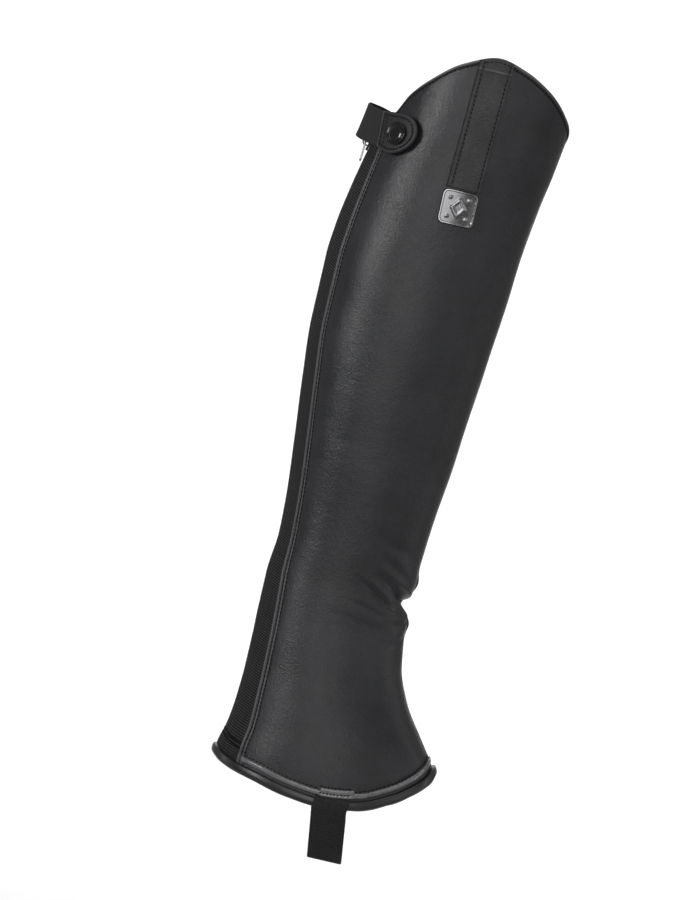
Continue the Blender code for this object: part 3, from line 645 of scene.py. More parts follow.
def bar(name, rings, look):
    """A closed bar through rings of points."""
    count, sides = rings.shape[:2]
    number = np.arange(count * sides).reshape(count, sides)
    here, there = number[:-1], number[1:]
    quads = np.stack((here, there, np.roll(there, -1, 1), np.roll(here, -1, 1)), -1)
    faces = quads.reshape(-1, 4).tolist() + [number[0].tolist(), number[-1, ::-1].tolist()]
    points = placed(rings.reshape(-1, 3)).tolist()
    return new_piece(name, closed_mesh(name, points, faces), look)


def spread(start, end, *steps, middle):
    """Numbers from start to end: the given steps in from both ends, and even ones between."""
    near = [start + step for step in steps]
    far = [end - step for step in reversed(steps)]
    inner = np.linspace(near[-1], far[0], max(2, int(round((far[0] - near[-1]) / middle)) + 1))
    return np.concatenate((near[:-1], inner, far[1:]))


def rows_between(foot, top, near, shares):
    """Each column's heights from foot to top: near's steps in from both ends, and shares of
    the rest between."""
    low, high = foot + near[-1], top - near[-1]
    rows = [foot + step for step in near[:-1]]
    rows += [low + share * (high - low) for share in shares]
    rows += [top - step for step in reversed(near[:-1])]
    return np.stack(rows, axis=1)


def both_ways(*shares):
    """The shares with 0 before them and their negatives before that."""
    shares = np.array(shares)
    return np.concatenate((-shares[::-1], [0.0], shares))


THREAD = 0.36
STITCH = 2.0
PITCH = 2.8
STITCH_SIDES = 5
STITCH_ARCH = 3.0
# Along the stitch, its radius and its rise, as shares of its length, thread and arch.
STITCH_RINGS = ((0.0, 0.35, -0.16), (0.16, 0.85, 0.02), (0.5, 1.0, 0.10), (0.84, 0.85, 0.02),
                (1.0, 0.35, -0.16))


def seam(name, slot, runs, pitch=PITCH, length=STITCH, thread=THREAD):
    """Rows of stitches. Each run is (points, outs): a line of points on the cloth's face and
    the directions out of it there."""
    points, faces = [], []
    sides, rings = STITCH_SIDES, len(STITCH_RINGS)
    for line, outs in runs:
        steps = np.linalg.norm(np.diff(line, axis=0), axis=1)
        gone = np.concatenate(([0.0], np.cumsum(steps)))
        count = int((gone[-1] - length) // pitch) + 1
        first = (gone[-1] - (count - 1) * pitch - length) / 2

        def at(distance):
            spot = np.array([np.interp(distance, gone, line[:, axis]) for axis in range(3)])
            out = np.array([np.interp(distance, gone, outs[:, axis]) for axis in range(3)])
            return spot, out / np.linalg.norm(out)

        for number in range(count):
            begin = first + number * pitch
            tail, _ = at(begin)
            head, _ = at(begin + length)
            way = (head - tail) / np.linalg.norm(head - tail)
            base = len(points)
            for share, wide, rise in STITCH_RINGS:
                spot, out = at(begin + share * length)
                aside = np.cross(way, out)
                for side in range(sides):
                    turn = 2 * math.pi * side / sides
                    spoke = math.cos(turn) * aside + math.sin(turn) * out
                    points.append(spot + thread * (wide * spoke + rise * STITCH_ARCH * out))
            for ring in range(base, base + (rings - 1) * sides, sides):
                for side in range(sides):
                    a, b = ring + side, ring + (side + 1) % sides
                    faces.append((a, b, b + sides, a + sides))
            last = base + (rings - 1) * sides
            faces.append([base + side for side in reversed(range(sides))])
            faces.append([last + side for side in range(sides)])
    mesh = closed_mesh(name, placed(points).tolist(), faces)
    return assigned(new_piece(name, mesh, LOOKS["thread"], 60.0), slot)


def run_on_leg(around, height, off):
    """A line of points on the leg for stitches, with its directions outward."""
    return leg.on(around, height, off), leg.outward(around, height)


# ---------------------------------------------------------------- finishes


class Value:
    """A number that varies over a surface: a shader socket that arithmetic can be done on."""

    def __init__(self, look, socket):
        self.look, self.socket = look, socket

    def _math(self, operation, first, second):
        return self.look.node("Math", {"operation": operation}, {0: first, 1: second})

    def __add__(self, other):
        return self._math("ADD", self, other)

    __radd__ = __add__

    def __sub__(self, other):
        return self._math("SUBTRACT", self, other)

    def __rsub__(self, other):
        return self._math("SUBTRACT", other, self)

    def __mul__(self, other):
        return self._math("MULTIPLY", self, other)

    __rmul__ = __mul__


class Look:
    """A procedural finish: a material and the nodes that feed its surface shader."""

    def __init__(self, name, roughness=0.5, metallic=0.0, **constants):
        self.material = bpy.data.materials.new(name)
        self.material.use_nodes = True
        self.tree = self.material.node_tree
        self.shader = self.tree.nodes["Principled BSDF"]
        self.shader.inputs["Roughness"].default_value = roughness
        self.shader.inputs["Metallic"].default_value = metallic
        for socket, value in constants.items():
            self.shader.inputs[socket.replace("_", " ")].default_value = value

    def node(self, kind, settings=(), sockets=(), output=0):
        """Adds a node, sets it up, feeds its sockets and gives back one of its outputs."""
        made = self.tree.nodes.new("ShaderNode" + kind)
        for key, value in dict(settings).items():
            setattr(made, key, value)
        for key, value in dict(sockets).items():
            self.feed(made.inputs[key], value)
        return Value(self, made.outputs[output])

    def feed(self, socket, value):
        if isinstance(value, Value):
            self.tree.links.new(value.socket, socket)
        elif hasattr(value, "__len__") and socket.type == "RGBA" and len(value) == 3:
            socket.default_value = (*value, 1.0)
        else:
            socket.default_value = value

    def coords(self, scale=(1.0, 1.0, 1.0)):
        """The object's own coordinates, in metres."""
        spot = self.node("TexCoord", output="Object")
        if scale == (1.0, 1.0, 1.0):
            return spot
        return self.node("Mapping", {}, {"Vector": spot, "Scale": scale})

    def lie(self, turn=0.0):
        """The flat lie of the cloth, in metres."""
        spot = self.node("UVMap", {"uv_map": "lie"})
        if turn == 0.0:
            return spot
        return self.node("Mapping", {}, {"Vector": spot, "Rotation": (0.0, 0.0, turn)})

    def attribute(self, name):
        return self.node("Attribute", {"attribute_name": name}, output="Fac")

    def noise(self, size, detail=2.0, rough=0.5, at=None):
        """Cloudy noise whose features are about size metres."""
        inputs = {"Vector": at or self.coords(), "Scale": 1 / size, "Detail": detail,
                  "Roughness": rough}
        return self.node("TexNoise", {}, inputs)

    def cells(self, size, feature, at):
        """Distances in a pattern of uneven cells about size metres wide."""
        inputs = {"Vector": at, "Scale": 1 / size}
        return self.node("TexVoronoi", {"feature": feature}, inputs, "Distance")

    def ribs(self, pitch, at, direction):
        """Waves across a direction, pitch metres apart."""
        settings = {"wave_type": "BANDS", "bands_direction": direction, "wave_profile": "SIN"}
        inputs = {"Vector": at, "Scale": 2 * math.pi / pitch / 20, "Distortion": 0.0}
        return self.node("TexWave", settings, inputs)

    def step(self, low, high, value):
        """0 up to low, 1 from high, and a soft step between."""
        settings = {"interpolation_type": "SMOOTHSTEP"}
        inputs = {"Value": value, "From Min": low, "From Max": high}
        return self.node("MapRange", settings, inputs)

    def mix(self, share, first, second):
        """A colour part of the way from first to second."""
        settings = {"data_type": "RGBA"}
        return self.node("Mix", settings, {0: share, 6: first, 7: second}, 2)

    def bump(self, height, distance, strength, over=None):
        """Normals of a relief that is distance metres deep, laid over another's."""
        inputs = {"Height": height, "Distance": distance, "Strength": strength}
        if over is not None:
            inputs["Normal"] = over
        return self.node("Bump", {}, inputs)

    def finish(self, **fed):
        """Feeds the surface shader's sockets and gives back the material."""
        for socket, value in fed.items():
            self.feed(self.shader.inputs[socket.replace("_", " ")], value)
        return self.material


def tinted(share, colour):
    """The colour made darker, or paler where share is over 1."""
    return tuple(share * channel for channel in colour)


LINING = (0.012, 0.012, 0.013)
# Painted shade for the bottoms of hollows.
PAINTED_TROUGH_SHADE = (0.002, 0.002, 0.0022)
# A painted highlight for edges.
PAINTED_EDGE_HIGHLIGHT = (0.085, 0.086, 0.09)


def leather_finish(name, colour, roughness, grain, lined=False, crumple=1.0, wrinkle=0.0042,
                   across=1.0, specular=0.42):
    """Grain leather: small uneven cells pressed into the face, wrinkles, a satin that varies,
    and a matte cloth lining on the inner face where lined. Painted shade darkens it where the
    attribute shade is 1, in the hollows, and a painted highlight makes it paler where it is -1,
    on the turned edges."""
    look = Look(name, IOR=1.47, Specular_IOR_Level=specular)
    spot = look.coords()
    wander = look.noise(wrinkle, 3.0, 0.6, look.coords((1.0, 1.0, across)))
    shade = look.attribute("shade")
    pores = look.cells(grain, "F1", spot)
    edges = look.cells(grain * 1.9, "F2", spot)
    worn = look.noise(0.028, 4.0, 0.55, spot)
    streaks = look.noise(0.012, 3.0, 0.6, look.coords((1.0, 1.0, 0.25)))
    speckle = look.step(0.36, 0.64, look.noise(0.0011, 2.0, 0.6, spot))
    face = look.mix(look.step(0.3, 0.75, worn), tinted(0.72, colour), tinted(1.35, colour))
    face = look.mix(speckle * 0.5 + 0.5, tinted(0.3, colour), face)
    gloss = roughness + 0.16 * (worn - 0.5) + 0.10 * (streaks - 0.5) - 0.05 * pores
    if lined:
        inside = look.attribute("inside")
        face = look.mix(inside, face, LINING)
        gloss = gloss + inside * (0.9 - roughness)
    # Painted shade in the hollows, which are also rougher, and a painted highlight on the edges.
    painted_shade_mask = look.step(0.0, 1.0, shade)
    face = look.mix(painted_shade_mask, face, PAINTED_TROUGH_SHADE)
    face = look.mix(look.step(0.0, 1.0, 0.0 - shade), face, PAINTED_EDGE_HIGHLIGHT)
    gloss = gloss + 0.3 * painted_shade_mask
    fine = look.bump(pores * 0.6 + edges * 0.6, 0.00016, 0.9)
    middling = look.bump(wander, 0.00032 * crumple, 0.5, over=fine)
    broad = look.bump(worn, 0.0016, 0.4, over=middling)
    return look.finish(Base_Color=face, Roughness=gloss, Normal=broad)


def elastic_finish(name, colour, pitch, turn):
    """Knitted elastic: fine ribs across, crossed by finer yarns, with painted shade where the
    attribute shade is 1.
    """
    look = Look(name, 0.85, Sheen_Weight=0.02, Sheen_Roughness=0.5, Specular_IOR_Level=0.08)
    lie = look.lie(turn)
    rib = look.ribs(pitch, lie, "Y")
    yarn = look.ribs(0.00055, lie, "X")
    fuzz = look.noise(0.0006, 3.0, 0.6)
    face = look.mix(rib * 0.6 + yarn * 0.4, tinted(0.45, colour), colour)
    relief = rib * 0.6 + yarn * 0.35 + fuzz * 0.5
    return look.finish(
        Base_Color=look.mix(look.attribute("shade"), face, tinted(0.06, colour)),
        Roughness=0.72 + 0.2 * fuzz,
        Normal=look.bump(relief, 0.00018, 0.7),
    )


def woven_finish(name, colour, pitch):
    """Plain woven tape or webbing: yarns over and under, darker where the fold shades it."""
    look = Look(name, 0.8, Sheen_Weight=0.02, Sheen_Roughness=0.4, Specular_IOR_Level=0.08)
    lie = look.lie()
    check = look.ribs(pitch, lie, "X") * look.ribs(pitch * 0.8, lie, "Y")
    fuzz = look.noise(0.0005, 3.0, 0.6)
    dark = tinted(0.4, colour)
    face = look.mix(check, dark, colour)
    face = look.mix(look.step(0.35, 0.65, look.noise(0.0011, 2.0, 0.6)), dark, face)
    return look.finish(
        Base_Color=look.mix(look.attribute("shade"), face, (0.001, 0.001, 0.001)),
        Roughness=0.68 + 0.2 * fuzz,
        Normal=look.bump(check * 0.8 + fuzz * 0.4, 0.0002, 0.8),
    )


def moulded_finish(name, colour, roughness, mottle=0.08, coat=0.0, specular=0.5):
    """Moulded or extruded plastic and rubber, with slight rubbing."""
    look = Look(name, roughness, Coat_Weight=coat, Coat_Roughness=0.12,
                Specular_IOR_Level=specular)
    cloud = look.noise(0.007, 4.0, 0.6)
    fine = look.noise(0.0007, 2.0, 0.5)
    return look.finish(
        Base_Color=look.mix(look.step(0.35, 0.8, cloud), colour, tinted(1.5, colour)),
        Roughness=roughness + 2 * mottle * (cloud - 0.5) + 0.05 * fine,
        Normal=look.bump(fine + 0.6 * cloud, 0.00004, 0.35),
    )


def metal_finish(name, colour, roughness, metallic=1.0):
    """Metal with faint rubbing and scratches, darker where the attribute shade is 1."""
    look = Look(name, roughness, metallic)
    rub = look.noise(0.0025, 4.0, 0.6)
    scratch = look.noise(0.0009, 2.0, 0.5, look.coords((1.0, 1.0, 0.12)))
    face = look.mix(look.step(0.35, 0.75, rub), tinted(0.8, colour), colour)
    return look.finish(
        Base_Color=look.mix(look.attribute("shade"), face, tinted(0.22, colour)),
        Roughness=roughness + 0.14 * (rub - 0.4) + 0.06 * (scratch - 0.5),
        Normal=look.bump(scratch + 0.5 * rub, 0.00002, 0.3),
    )


LOOKS = {}


def make_looks(sizes):
    """Makes every finish, under the key that the pieces use."""
    gloss, grain = sizes.leather_gloss, sizes.grain * MM
    LOOKS.update(
        leather=leather_finish("satin grain leather", tuple(sizes.leather_colour), gloss, grain,
                               lined=True),
        edge_leather=leather_finish("tab leather", (0.018, 0.018, 0.0195), gloss + 0.12, grain,
                                    specular=0.28),
        band=leather_finish("matte band leather", (0.030, 0.030, 0.032), 0.6, 0.0009,
                            crumple=8.0, wrinkle=0.0030, across=2.0),
        elastic=elastic_finish("ribbed elastic", (0.066, 0.066, 0.067), 0.0016, 0.0),
        tab_elastic=elastic_finish("tab elastic", (0.034, 0.034, 0.036), 0.0009, math.pi / 2),
        webbing=woven_finish("strap webbing", (0.046, 0.046, 0.046), 0.0011),
        tape=woven_finish("zip tape", (0.03, 0.03, 0.031), 0.0007),
        strip=moulded_finish("glossy binding strip", (0.085, 0.085, 0.089), 0.26, 0.1, coat=0.7),
        rubber=moulded_finish("rubber rand", (0.006, 0.006, 0.0065), 0.3, 0.1),
        teeth=moulded_finish("zip teeth", (0.014, 0.014, 0.015), 0.4, 0.05),
        thread=moulded_finish("sewing thread", (0.002, 0.002, 0.0022), 0.6, 0.05, specular=0.1),
        lacquer=metal_finish("black lacquered metal", (0.006, 0.006, 0.0065), 0.14, 0.0),
        silver=metal_finish("polished silver metal", (0.30, 0.30, 0.305), 0.3),
        badge=metal_finish("polished badge metal", (0.24, 0.24, 0.246), 0.2),
    )


# ---------------------------------------------------------------- settings


class HalfChapSizes(bpy.types.PropertyGroup):
    """What a user would change: the leather and the backdrop"""

    leather_colour: FloatVectorProperty(
        name="Leather colour", description="Colour of the panel's leather", subtype="COLOR",
        size=3, default=(0.0132, 0.0136, 0.0162), min=0.0, max=1.0,
    )
    leather_gloss: FloatProperty(
        name="Leather roughness", description="How matte the panel's leather is",
        default=0.40, min=0.1, max=1.0, subtype="FACTOR",
    )
    grain: FloatProperty(
        name="Grain size", description="Size of the leather's pores, in millimetres",
        default=0.62, min=0.2, max=3.0,
    )
    backdrop_colour: FloatVectorProperty(
        name="Backdrop colour", description="Colour of the floor and backdrop",
        subtype="COLOR", size=3, default=(0.9, 0.9, 0.9), min=0.0, max=1.0,
    )


# ---------------------------------------------------------------- pieces


# About how far it is from a back edge to the shin line.
HALF_ROUND = 147.0


def panel_grid():
    """The panel's points: how far round and how high. Columns crowd together at its back edges
    and its seam, and rows at its top, at its foot and at the folds round the ankle."""
    turned = (0.0, 0.12, 0.35, 0.8, 1.3, 1.7, 2.1, 2.5, 2.9, 3.3, 3.8, 4.25, 4.7, 5.15, 5.7, 6.4,
              7.4)
    seam_steps = (6.0, 4.4, 3.2, 2.4, 1.8, 1.3, 0.9, 0.6, 0.35, 0.15)
    edge_share, seam_share = turned[-1] / HALF_ROUND, seam_steps[0] / HALF_ROUND
    first = np.linspace(edge_share, 1 - seam_share, 64)[1:-1]
    second = np.linspace(seam_share, 1 - edge_share, 72)[1:-1]
    outer, shin, inner = outer_edge(0.0), shin_line(0.0), inner_edge(0.0)
    columns = [outer_edge(inset) for inset in turned]
    columns += [between(share, outer, shin) for share in first]
    columns += [shin_line(-step) for step in seam_steps]
    columns += [shin_line(step) for step in (0.0, *reversed(seam_steps))]
    columns += [between(share, shin, inner) for share in second]
    columns += [inner_edge(inset) for inset in reversed(turned)]

    def around(height):
        """Where every column lies at its own heights: height has one row of them a column."""
        height = np.broadcast_to(height, (len(columns),) + np.shape(height)[1:])
        return np.stack([column(at) for column, at in zip(columns, height)])

    guess = np.zeros(len(columns))
    foot = foot_at(around, guess)
    top = top_at(around, guess + TOP_GUESS)
    levels = np.linspace(0.0, 1.0, 800)
    crowd = 1.0 + 4.6 * bell(levels, 0.255, 0.055)
    travelled = np.concatenate(([0.0], np.cumsum(crowd[:-1])))
    shares = np.interp(np.linspace(0.0, travelled[-1], 180), travelled, levels)
    near = (0.0, 0.3, 0.8, 1.4, 2.0, 2.4, 2.8, 3.2, 3.8, 4.6, 5.6, 7.0)
    height = rows_between(foot, top, near, shares)
    return around(height), height


def strap_across(around, height):
    """How far along X a place lies from the strap's middle line."""
    return leg.bare(around, height)[..., 0] - STRAP_ACROSS


def over_strap(around, height):
    """1 where the hem holds the end of the strap, 0 clear of it."""
    across = np.abs(strap_across(around, height))
    return 1 - smooth(STRAP_WIDE / 2 - 0.7, STRAP_WIDE / 2, across)


def crease_relief(around, height):
    """How far the creases lift the leather: minus in a valley."""
    middle = leg.girth(height) / 2
    total = np.zeros(np.shape(height))
    for side, path, depth, spread, ridge in CREASES:
        behind = side * (middle - around)
        start, end = path[0][0], path[-1][0]
        along = np.clip((behind - start) / (end - start), 0.0, 1.0)
        if start < 4:
            # It starts at the seam, at its full depth.
            taper = 1 - smooth(0.4, 1.0, along)
        else:
            taper = smooth(0.0, 0.25, along) * (1 - smooth(0.45, 1.0, along))
        taper = taper * ((behind > start) & (behind < end))
        above = height - Curve(path, 1)(behind)
        over = bell(above, 2.4 * spread, 1.6 * spread)
        total += taper * (ridge * over - depth * bell(above, 0.0, spread))
    return total


# How much of a height below the top edge is square to that edge.
TOP_SLANT = 0.93


def panel_places(around, height):
    """Where points lie on the panel: in from the nearer back edge, down from the top edge, up
    from the hem line, aside from the shin line and above the hem's sewing. The last is 1 where
    the dart is sewn."""
    share = around / leg.girth(height) % 1.0
    side = np.minimum(around - outer_edge(0.0)(height), inner_edge(0.0)(height) - around)
    down = (TOP_LINE(share) - height) * TOP_SLANT
    up = height - HEM_LINE(np.minimum(share, 1 - share))
    aside = np.abs(around - shin_line(0.0)(height))
    sewn = up - HEM_ROW - STRAP_STEP * over_strap(around, height)
    dart = 1 - smooth(DART_TOP - DART_FADE, DART_TOP, height)
    return side, down, up, aside, sewn, dart


def leather_relief(around, height, places):
    """How far the leather's face stands off its plain surface."""
    side, down, up, aside, sewn, dart = places
    relief = crease_relief(around, height)
    calm = smooth(0.0, 18.0, side) * smooth(0.0, 14.0, down) * smooth(0.0, 20.0, up)
    for round_by, along_by, turn, lift in WAVES:
        wave = np.sin(2 * math.pi * (around / round_by + height / along_by) + turn)
        relief = relief + lift * calm * wave
    # The turned back edges, with their rims and grooves.
    relief = relief + TURNED_RISE * (1 - smooth(TURNED_WIDTH - 0.9, TURNED_FLAT - 0.7, side))
    relief = relief - 0.45 * (1 - smooth(0.0, 0.45, side))
    for row in EDGE_ROWS:
        relief = relief - 0.26 * bell(side, row, 0.5)
    # The turned top edge, and the hem's groove.
    relief = relief + 0.32 * (1 - smooth(1.7, 2.4, down)) * smooth(3.0, 3.6, side)
    relief = relief - 0.40 * (1 - smooth(0.0, 0.5, down))
    relief = relief - 0.24 * bell(down, TOP_ROW, 0.6)
    relief = relief - 0.26 * bell(sewn, 0.0, 0.8)
    # The dart, its swell and its groove.
    relief = relief - dart * 0.95 * bell(aside, 0.0, 0.42)
    relief = relief + dart * 0.28 * bell(aside, 1.3, 0.8)
    relief = relief - dart * 0.22 * bell(aside, DART_ROW, 0.7)
    # Puckers beside the strap's ends.
    across = np.abs(strap_across(around, height))
    corner = bell(across - STRAP_WIDE / 2, 1.5, 3.0)
    pucker = corner * bell(up, 5.0, 5.0) * np.sin((up + 0.8 * across) * 0.9)
    return relief + 0.35 * pucker


def leather_painted_light(side, down, _up, aside, sewn, dart):
    """Painted shade, up to 1, where sewing and the seam press the leather's face down, and a
    painted highlight, down to -1, along the edges and the ridge between the edge rows.
    """
    rows = sum(bell(side, row, 0.5) for row in EDGE_ROWS)
    rows = rows + bell(down, TOP_ROW, 0.6) * smooth(3.0, 5.0, side)
    rows = rows + 0.8 * bell(sewn, 0.0, 0.8)
    rows = rows + dart * (bell(aside, 0.0, 0.5) + 0.5 * bell(aside, DART_ROW, 0.7))
    painted_highlight = 0.8 * bell(side, 1.0, 0.8) + 0.9 * bell(side, 3.85, 0.65)
    painted_highlight = painted_highlight + 0.8 * bell(down, 0.8, 0.7) * smooth(3.0, 4.0, side)
    return np.clip(0.75 * rows - painted_highlight, -1.0, 1.0)


def make_panel():
    """The leather, with its folds, creases, turned edges, dart and grooves."""
    around, height = panel_grid()
    places = panel_places(around, height)
    relief = leather_relief(around, height, places)
    # The attribute shade carries painted shade in the grooves and a painted highlight on the edges.
    piece = laid("leather_shell", around, height, relief, -LEATHER, LOOKS["leather"],
                 shade=leather_painted_light(*places))
    assigned(piece, "panel_leather", "leather_panel")


# Points in a run of stitches round the leg.
RUN_POINTS = 500


def run_round(height_of, start, end):
    """A run of stitches that goes round the leg between two lines, at height_of(around)."""
    around = between(np.linspace(0.0, 1.0, RUN_POINTS), start, end)
    height = height_of(around)
    return run_on_leg(around(height), height, -0.05)


def make_edge_stitches():
    """Stitch rows down both back edges, along the top, above the hem and beside the dart."""
    runs = []
    for line in [edge(row) for edge in (outer_edge, inner_edge) for row in EDGE_ROWS]:
        heights = np.linspace(float(hem_at(line)) + 1.0, float(top_at(line)) - 2.6, 400)
        runs.append(run_on_leg(line(heights), heights, -0.1))
    guess = np.zeros(RUN_POINTS)
    runs.append(run_round(lambda around: top_at(around, guess + TOP_GUESS) - 3.2,
                          outer_edge(6.0), inner_edge(6.0)))
    # The row above the hem stops at the strap's end on each side.
    near, far = (
        float(leg.outer_at(STRAP_ACROSS + part * (STRAP_WIDE / 2 + 0.3), 0.0)) for part in (-1, 1)
    )
    for start, end in (
        (outer_edge(5.5), level(near)),
        (level(far), lambda height: leg.girth(height) - far),
        (lambda height: leg.girth(height) - near, inner_edge(5.5)),
    ):
        runs.append(run_round(lambda around: hem_at(around, guess) + 1.1, start, end))
    for line in (shin_line(-DART_ROW), shin_line(DART_ROW)):
        heights = np.linspace(float(hem_at(line)) + 3.0, DART_TOP - 4.0, 120)
        runs.append(run_on_leg(line(heights), heights, -0.12))
    seam("panel_stitches", "panel_leather", runs)


def make_gusset():
    """The ribbed elastic down the back. Its ribs run down towards the front, so its rows of
    points follow them."""
    shares = np.array((0.0, 0.03, 0.09, 0.18, 0.3, 0.42, 0.54, 0.66, 0.78, 0.89, 0.97, 1.0))
    count = len(shares)
    start, end = level(OUTER_TAPE[1] + GAP), outer_edge(-GAP)
    lines = between(shares, start, end)
    foot = foot_at(lines, np.zeros(count))
    top = top_at(lines, np.full(count, GUSSET_TOP_GUESS))
    rise = RIB_PITCH / math.cos(RIB_LEAN)
    steps = np.arange(-40.0, 470.0, rise / RIB_SAMPLES)
    # The lean is worked out where the gusset has its width at this height.
    shear = math.tan(RIB_LEAN) * (lines(np.full(count, 200.0)) - 17.0)
    height = np.clip(steps[None, :] - shear[:, None], foot[:, None], top[:, None])
    used = [row for row in range(len(steps)) if np.ptp(height[:, row] - foot) > 0
            or np.ptp(height[:, row] - top) > 0]
    kept = slice(max(used[0] - 1, 0), min(used[-1] + 1, len(steps) - 1) + 1)
    height = height[:, kept]
    phase = 2 * math.pi * (steps[kept] / rise)
    around = between(shares[:, None], start, end)(height)
    rib = RIB_HEIGHT * (0.5 + 0.5 * np.cos(phase))[None, :] ** 1.4
    edge = np.minimum(shares, 1 - shares)[:, None] * 32.0
    up = height - foot[:, None]
    sewn = sum(0.25 * bell(up, row, 0.7) for row in GUSSET_ROWS)
    off = GUSSET_OFF + 0.05 - (RIB_HEIGHT - rib) * smooth(0.0, 1.2, edge) - sewn
    # Painted shade in the hollows between the ribs and in the sewing's grooves.
    piece = laid("elastic_gusset", around, height, off, GUSSET_OFF - ELASTIC, LOOKS["elastic"],
                 shade=np.clip(1 - rib / RIB_HEIGHT + 3.0 * sewn, 0.0, 1.0), weld=True)
    assigned(piece, "elastic", "back_elastic")

    lines = between(np.linspace(0.02, 0.98, 60), start, end)
    foot = foot_at(lines, np.zeros(60))
    runs = [run_on_leg(lines(foot + row), foot + row, GUSSET_OFF - 0.05) for row in GUSSET_ROWS]
    seam("gusset_stitches", "elastic", runs, pitch=2.5, length=1.7)


def make_tapes():
    """The two tapes that carry the zip's teeth, as much of each as shows."""
    shares = np.linspace(0.0, 1.0, 7)
    edge = np.minimum(shares, 1 - shares)[:, None]
    for name, node, (left, right) in (
        ("tape_outer", "zip_tape_outer", OUTER_TAPE),
        ("tape_inner", "zip_tape_inner", INNER_TAPE),
    ):
        lines = between(shares, level(left), level(right))
        foot = foot_at(lines, np.zeros(7))
        top = top_at(lines, np.full(7, TAPE_TOP_GUESS))
        height = foot[:, None] + np.linspace(0.0, 1.0, 240) * (top - foot)[:, None]
        around = (left + shares * (right - left))[:, None] + 0.0 * height
        off = TAPE_OFF - 0.25 * (1 - smooth(0.0, 0.25, edge)) + 0.0 * height
        piece = laid(name, around, height, off, TAPE_OFF - TAPE, LOOKS["tape"])
        assigned(piece, "zip_tape", node)


def frame_of(x, y, z, spot):
    """A place as a matrix, from its three directions and its origin."""
    rows = [[x[axis], y[axis], z[axis], spot[axis]] for axis in range(3)]
    return Matrix(rows + [[0, 0, 0, 1]])


def frame_at(around, height, off):
    """A place off the leg as a matrix: across round the leg, up along it, then out."""
    spot = leg.on(np.array(around), np.array(height), np.array(off))
    out = leg.outward(np.array(around), np.array(height))
    up = leg.bare(around, height + 1.5) - leg.bare(around, height - 1.5)
    up = up - up.dot(out) * out
    up = up / np.linalg.norm(up)
    return frame_of(np.cross(up, out), up, out, placed(spot))


def only(piece):
    """Makes a piece the one that operators act on."""
    bpy.ops.object.select_all(action="DESELECT")
    piece.select_set(True)
    bpy.context.view_layer.objects.active = piece


def cube(name, size, middle=(0.0, 0.0, 0.0)):
    """A box of a size in millimetres, in its own directions, ready to be shaped."""
    bpy.ops.object.select_all(action="DESELECT")
    bpy.ops.mesh.primitive_cube_add(size=1.0, location=(0, 0, 0))
    piece = bpy.context.active_object
    piece.name = name
    piece.data.name = name
    scale = Matrix.Diagonal((*[side * MM for side in size], 1.0))
    piece.data.transform(Matrix.Translation([part * MM for part in middle]) @ scale)
    return piece


def bevelled(piece, width, segments=2, limit=30.0):
    """Rounds the edges that turn more than limit degrees."""
    only(piece)
    modifier = piece.modifiers.new("Bevel", "BEVEL")
    modifier.width = width * MM
    modifier.segments = segments
    modifier.limit_method = "ANGLE"
    modifier.angle_limit = math.radians(limit)
    bpy.ops.object.modifier_apply(modifier=modifier.name)
    return piece


def joined(name, pieces):
    """Joins pieces into the first, under a new name."""
    only(pieces[0])
    for piece in pieces[1:]:
        piece.select_set(True)
    bpy.ops.object.join()
    pieces[0].name = name
    pieces[0].data.name = name
    return pieces[0]


def finished(piece, look):
    """Gives a piece one finish all over."""
    piece.data.materials.clear()
    piece.data.materials.append(LOOKS[look])


def settled(piece, place, look, slot, node):
    """Puts a shaped piece in its place, with its finish and instead of the frame's node."""
    piece.data.transform(place)
    piece.data.update()
    finished(piece, look)
    piece.data.shade_smooth()
    piece.data.set_sharp_from_angle(angle=math.radians(35.0))
    return assigned(piece, slot, node)


def make_teeth():
    """Two rows of moulded teeth that mesh along the middle of the chain."""
    tooth = bevelled(cube("tooth", (TOOTH_WIDE, TOOTH_TALL, CHAIN_THICK)), 0.32, 1)
    corners = np.array([vertex.co[:] for vertex in tooth.data.vertices])
    shape = [list(face.vertices) for face in tooth.data.polygons]
    bpy.data.objects.remove(tooth, do_unlink=True)
    # The head, towards the chain's middle, is a little narrower than the root.
    corners[:, 1] *= 1.0 - 0.18 * np.clip(corners[:, 0] / (TOOTH_WIDE * MM / 2), 0.0, 1.0)
    points, faces = [], []
    side = -1
    height = float(foot_at(level(CHAIN_MIDDLE))) + 1.2
    while height < ZIP_TOP - 1.0:
        place = frame_at(CHAIN_MIDDLE - side * 0.95, height, CHAIN_OFF - CHAIN_THICK / 2)
        matrix = np.array(place @ Matrix.Diagonal((side, 1.0, 1.0, 1.0)))
        base = len(points)
        points.extend((corners @ matrix[:3, :3].T + matrix[:3, 3]).tolist())
        faces.extend([[base + corner for corner in face] for face in shape])
        height += TOOTH_PITCH / 2
        side = -side
    mesh = closed_mesh("zip_teeth_rows", points, faces)
    assigned(new_piece("zip_teeth_rows", mesh, LOOKS["teeth"], 35.0), "zip_teeth", "zip_chain")


def make_zip_box():
    """The box at the zip's foot."""
    inner, outer = BOX_OFF
    box = cube("zip_foot_box", (BOX_WIDE, BOX_TALL - BOX_GAP, outer - inner),
               (0.0, -(BOX_TALL + BOX_GAP) / 2, 0.0))
    bevelled(box, 0.5, 2)
    foot = float(foot_at(level(CHAIN_MIDDLE)))
    place = frame_at(CHAIN_MIDDLE, foot, (inner + outer) / 2)
    settled(box, place, "teeth", "zip_teeth", "zip_box")


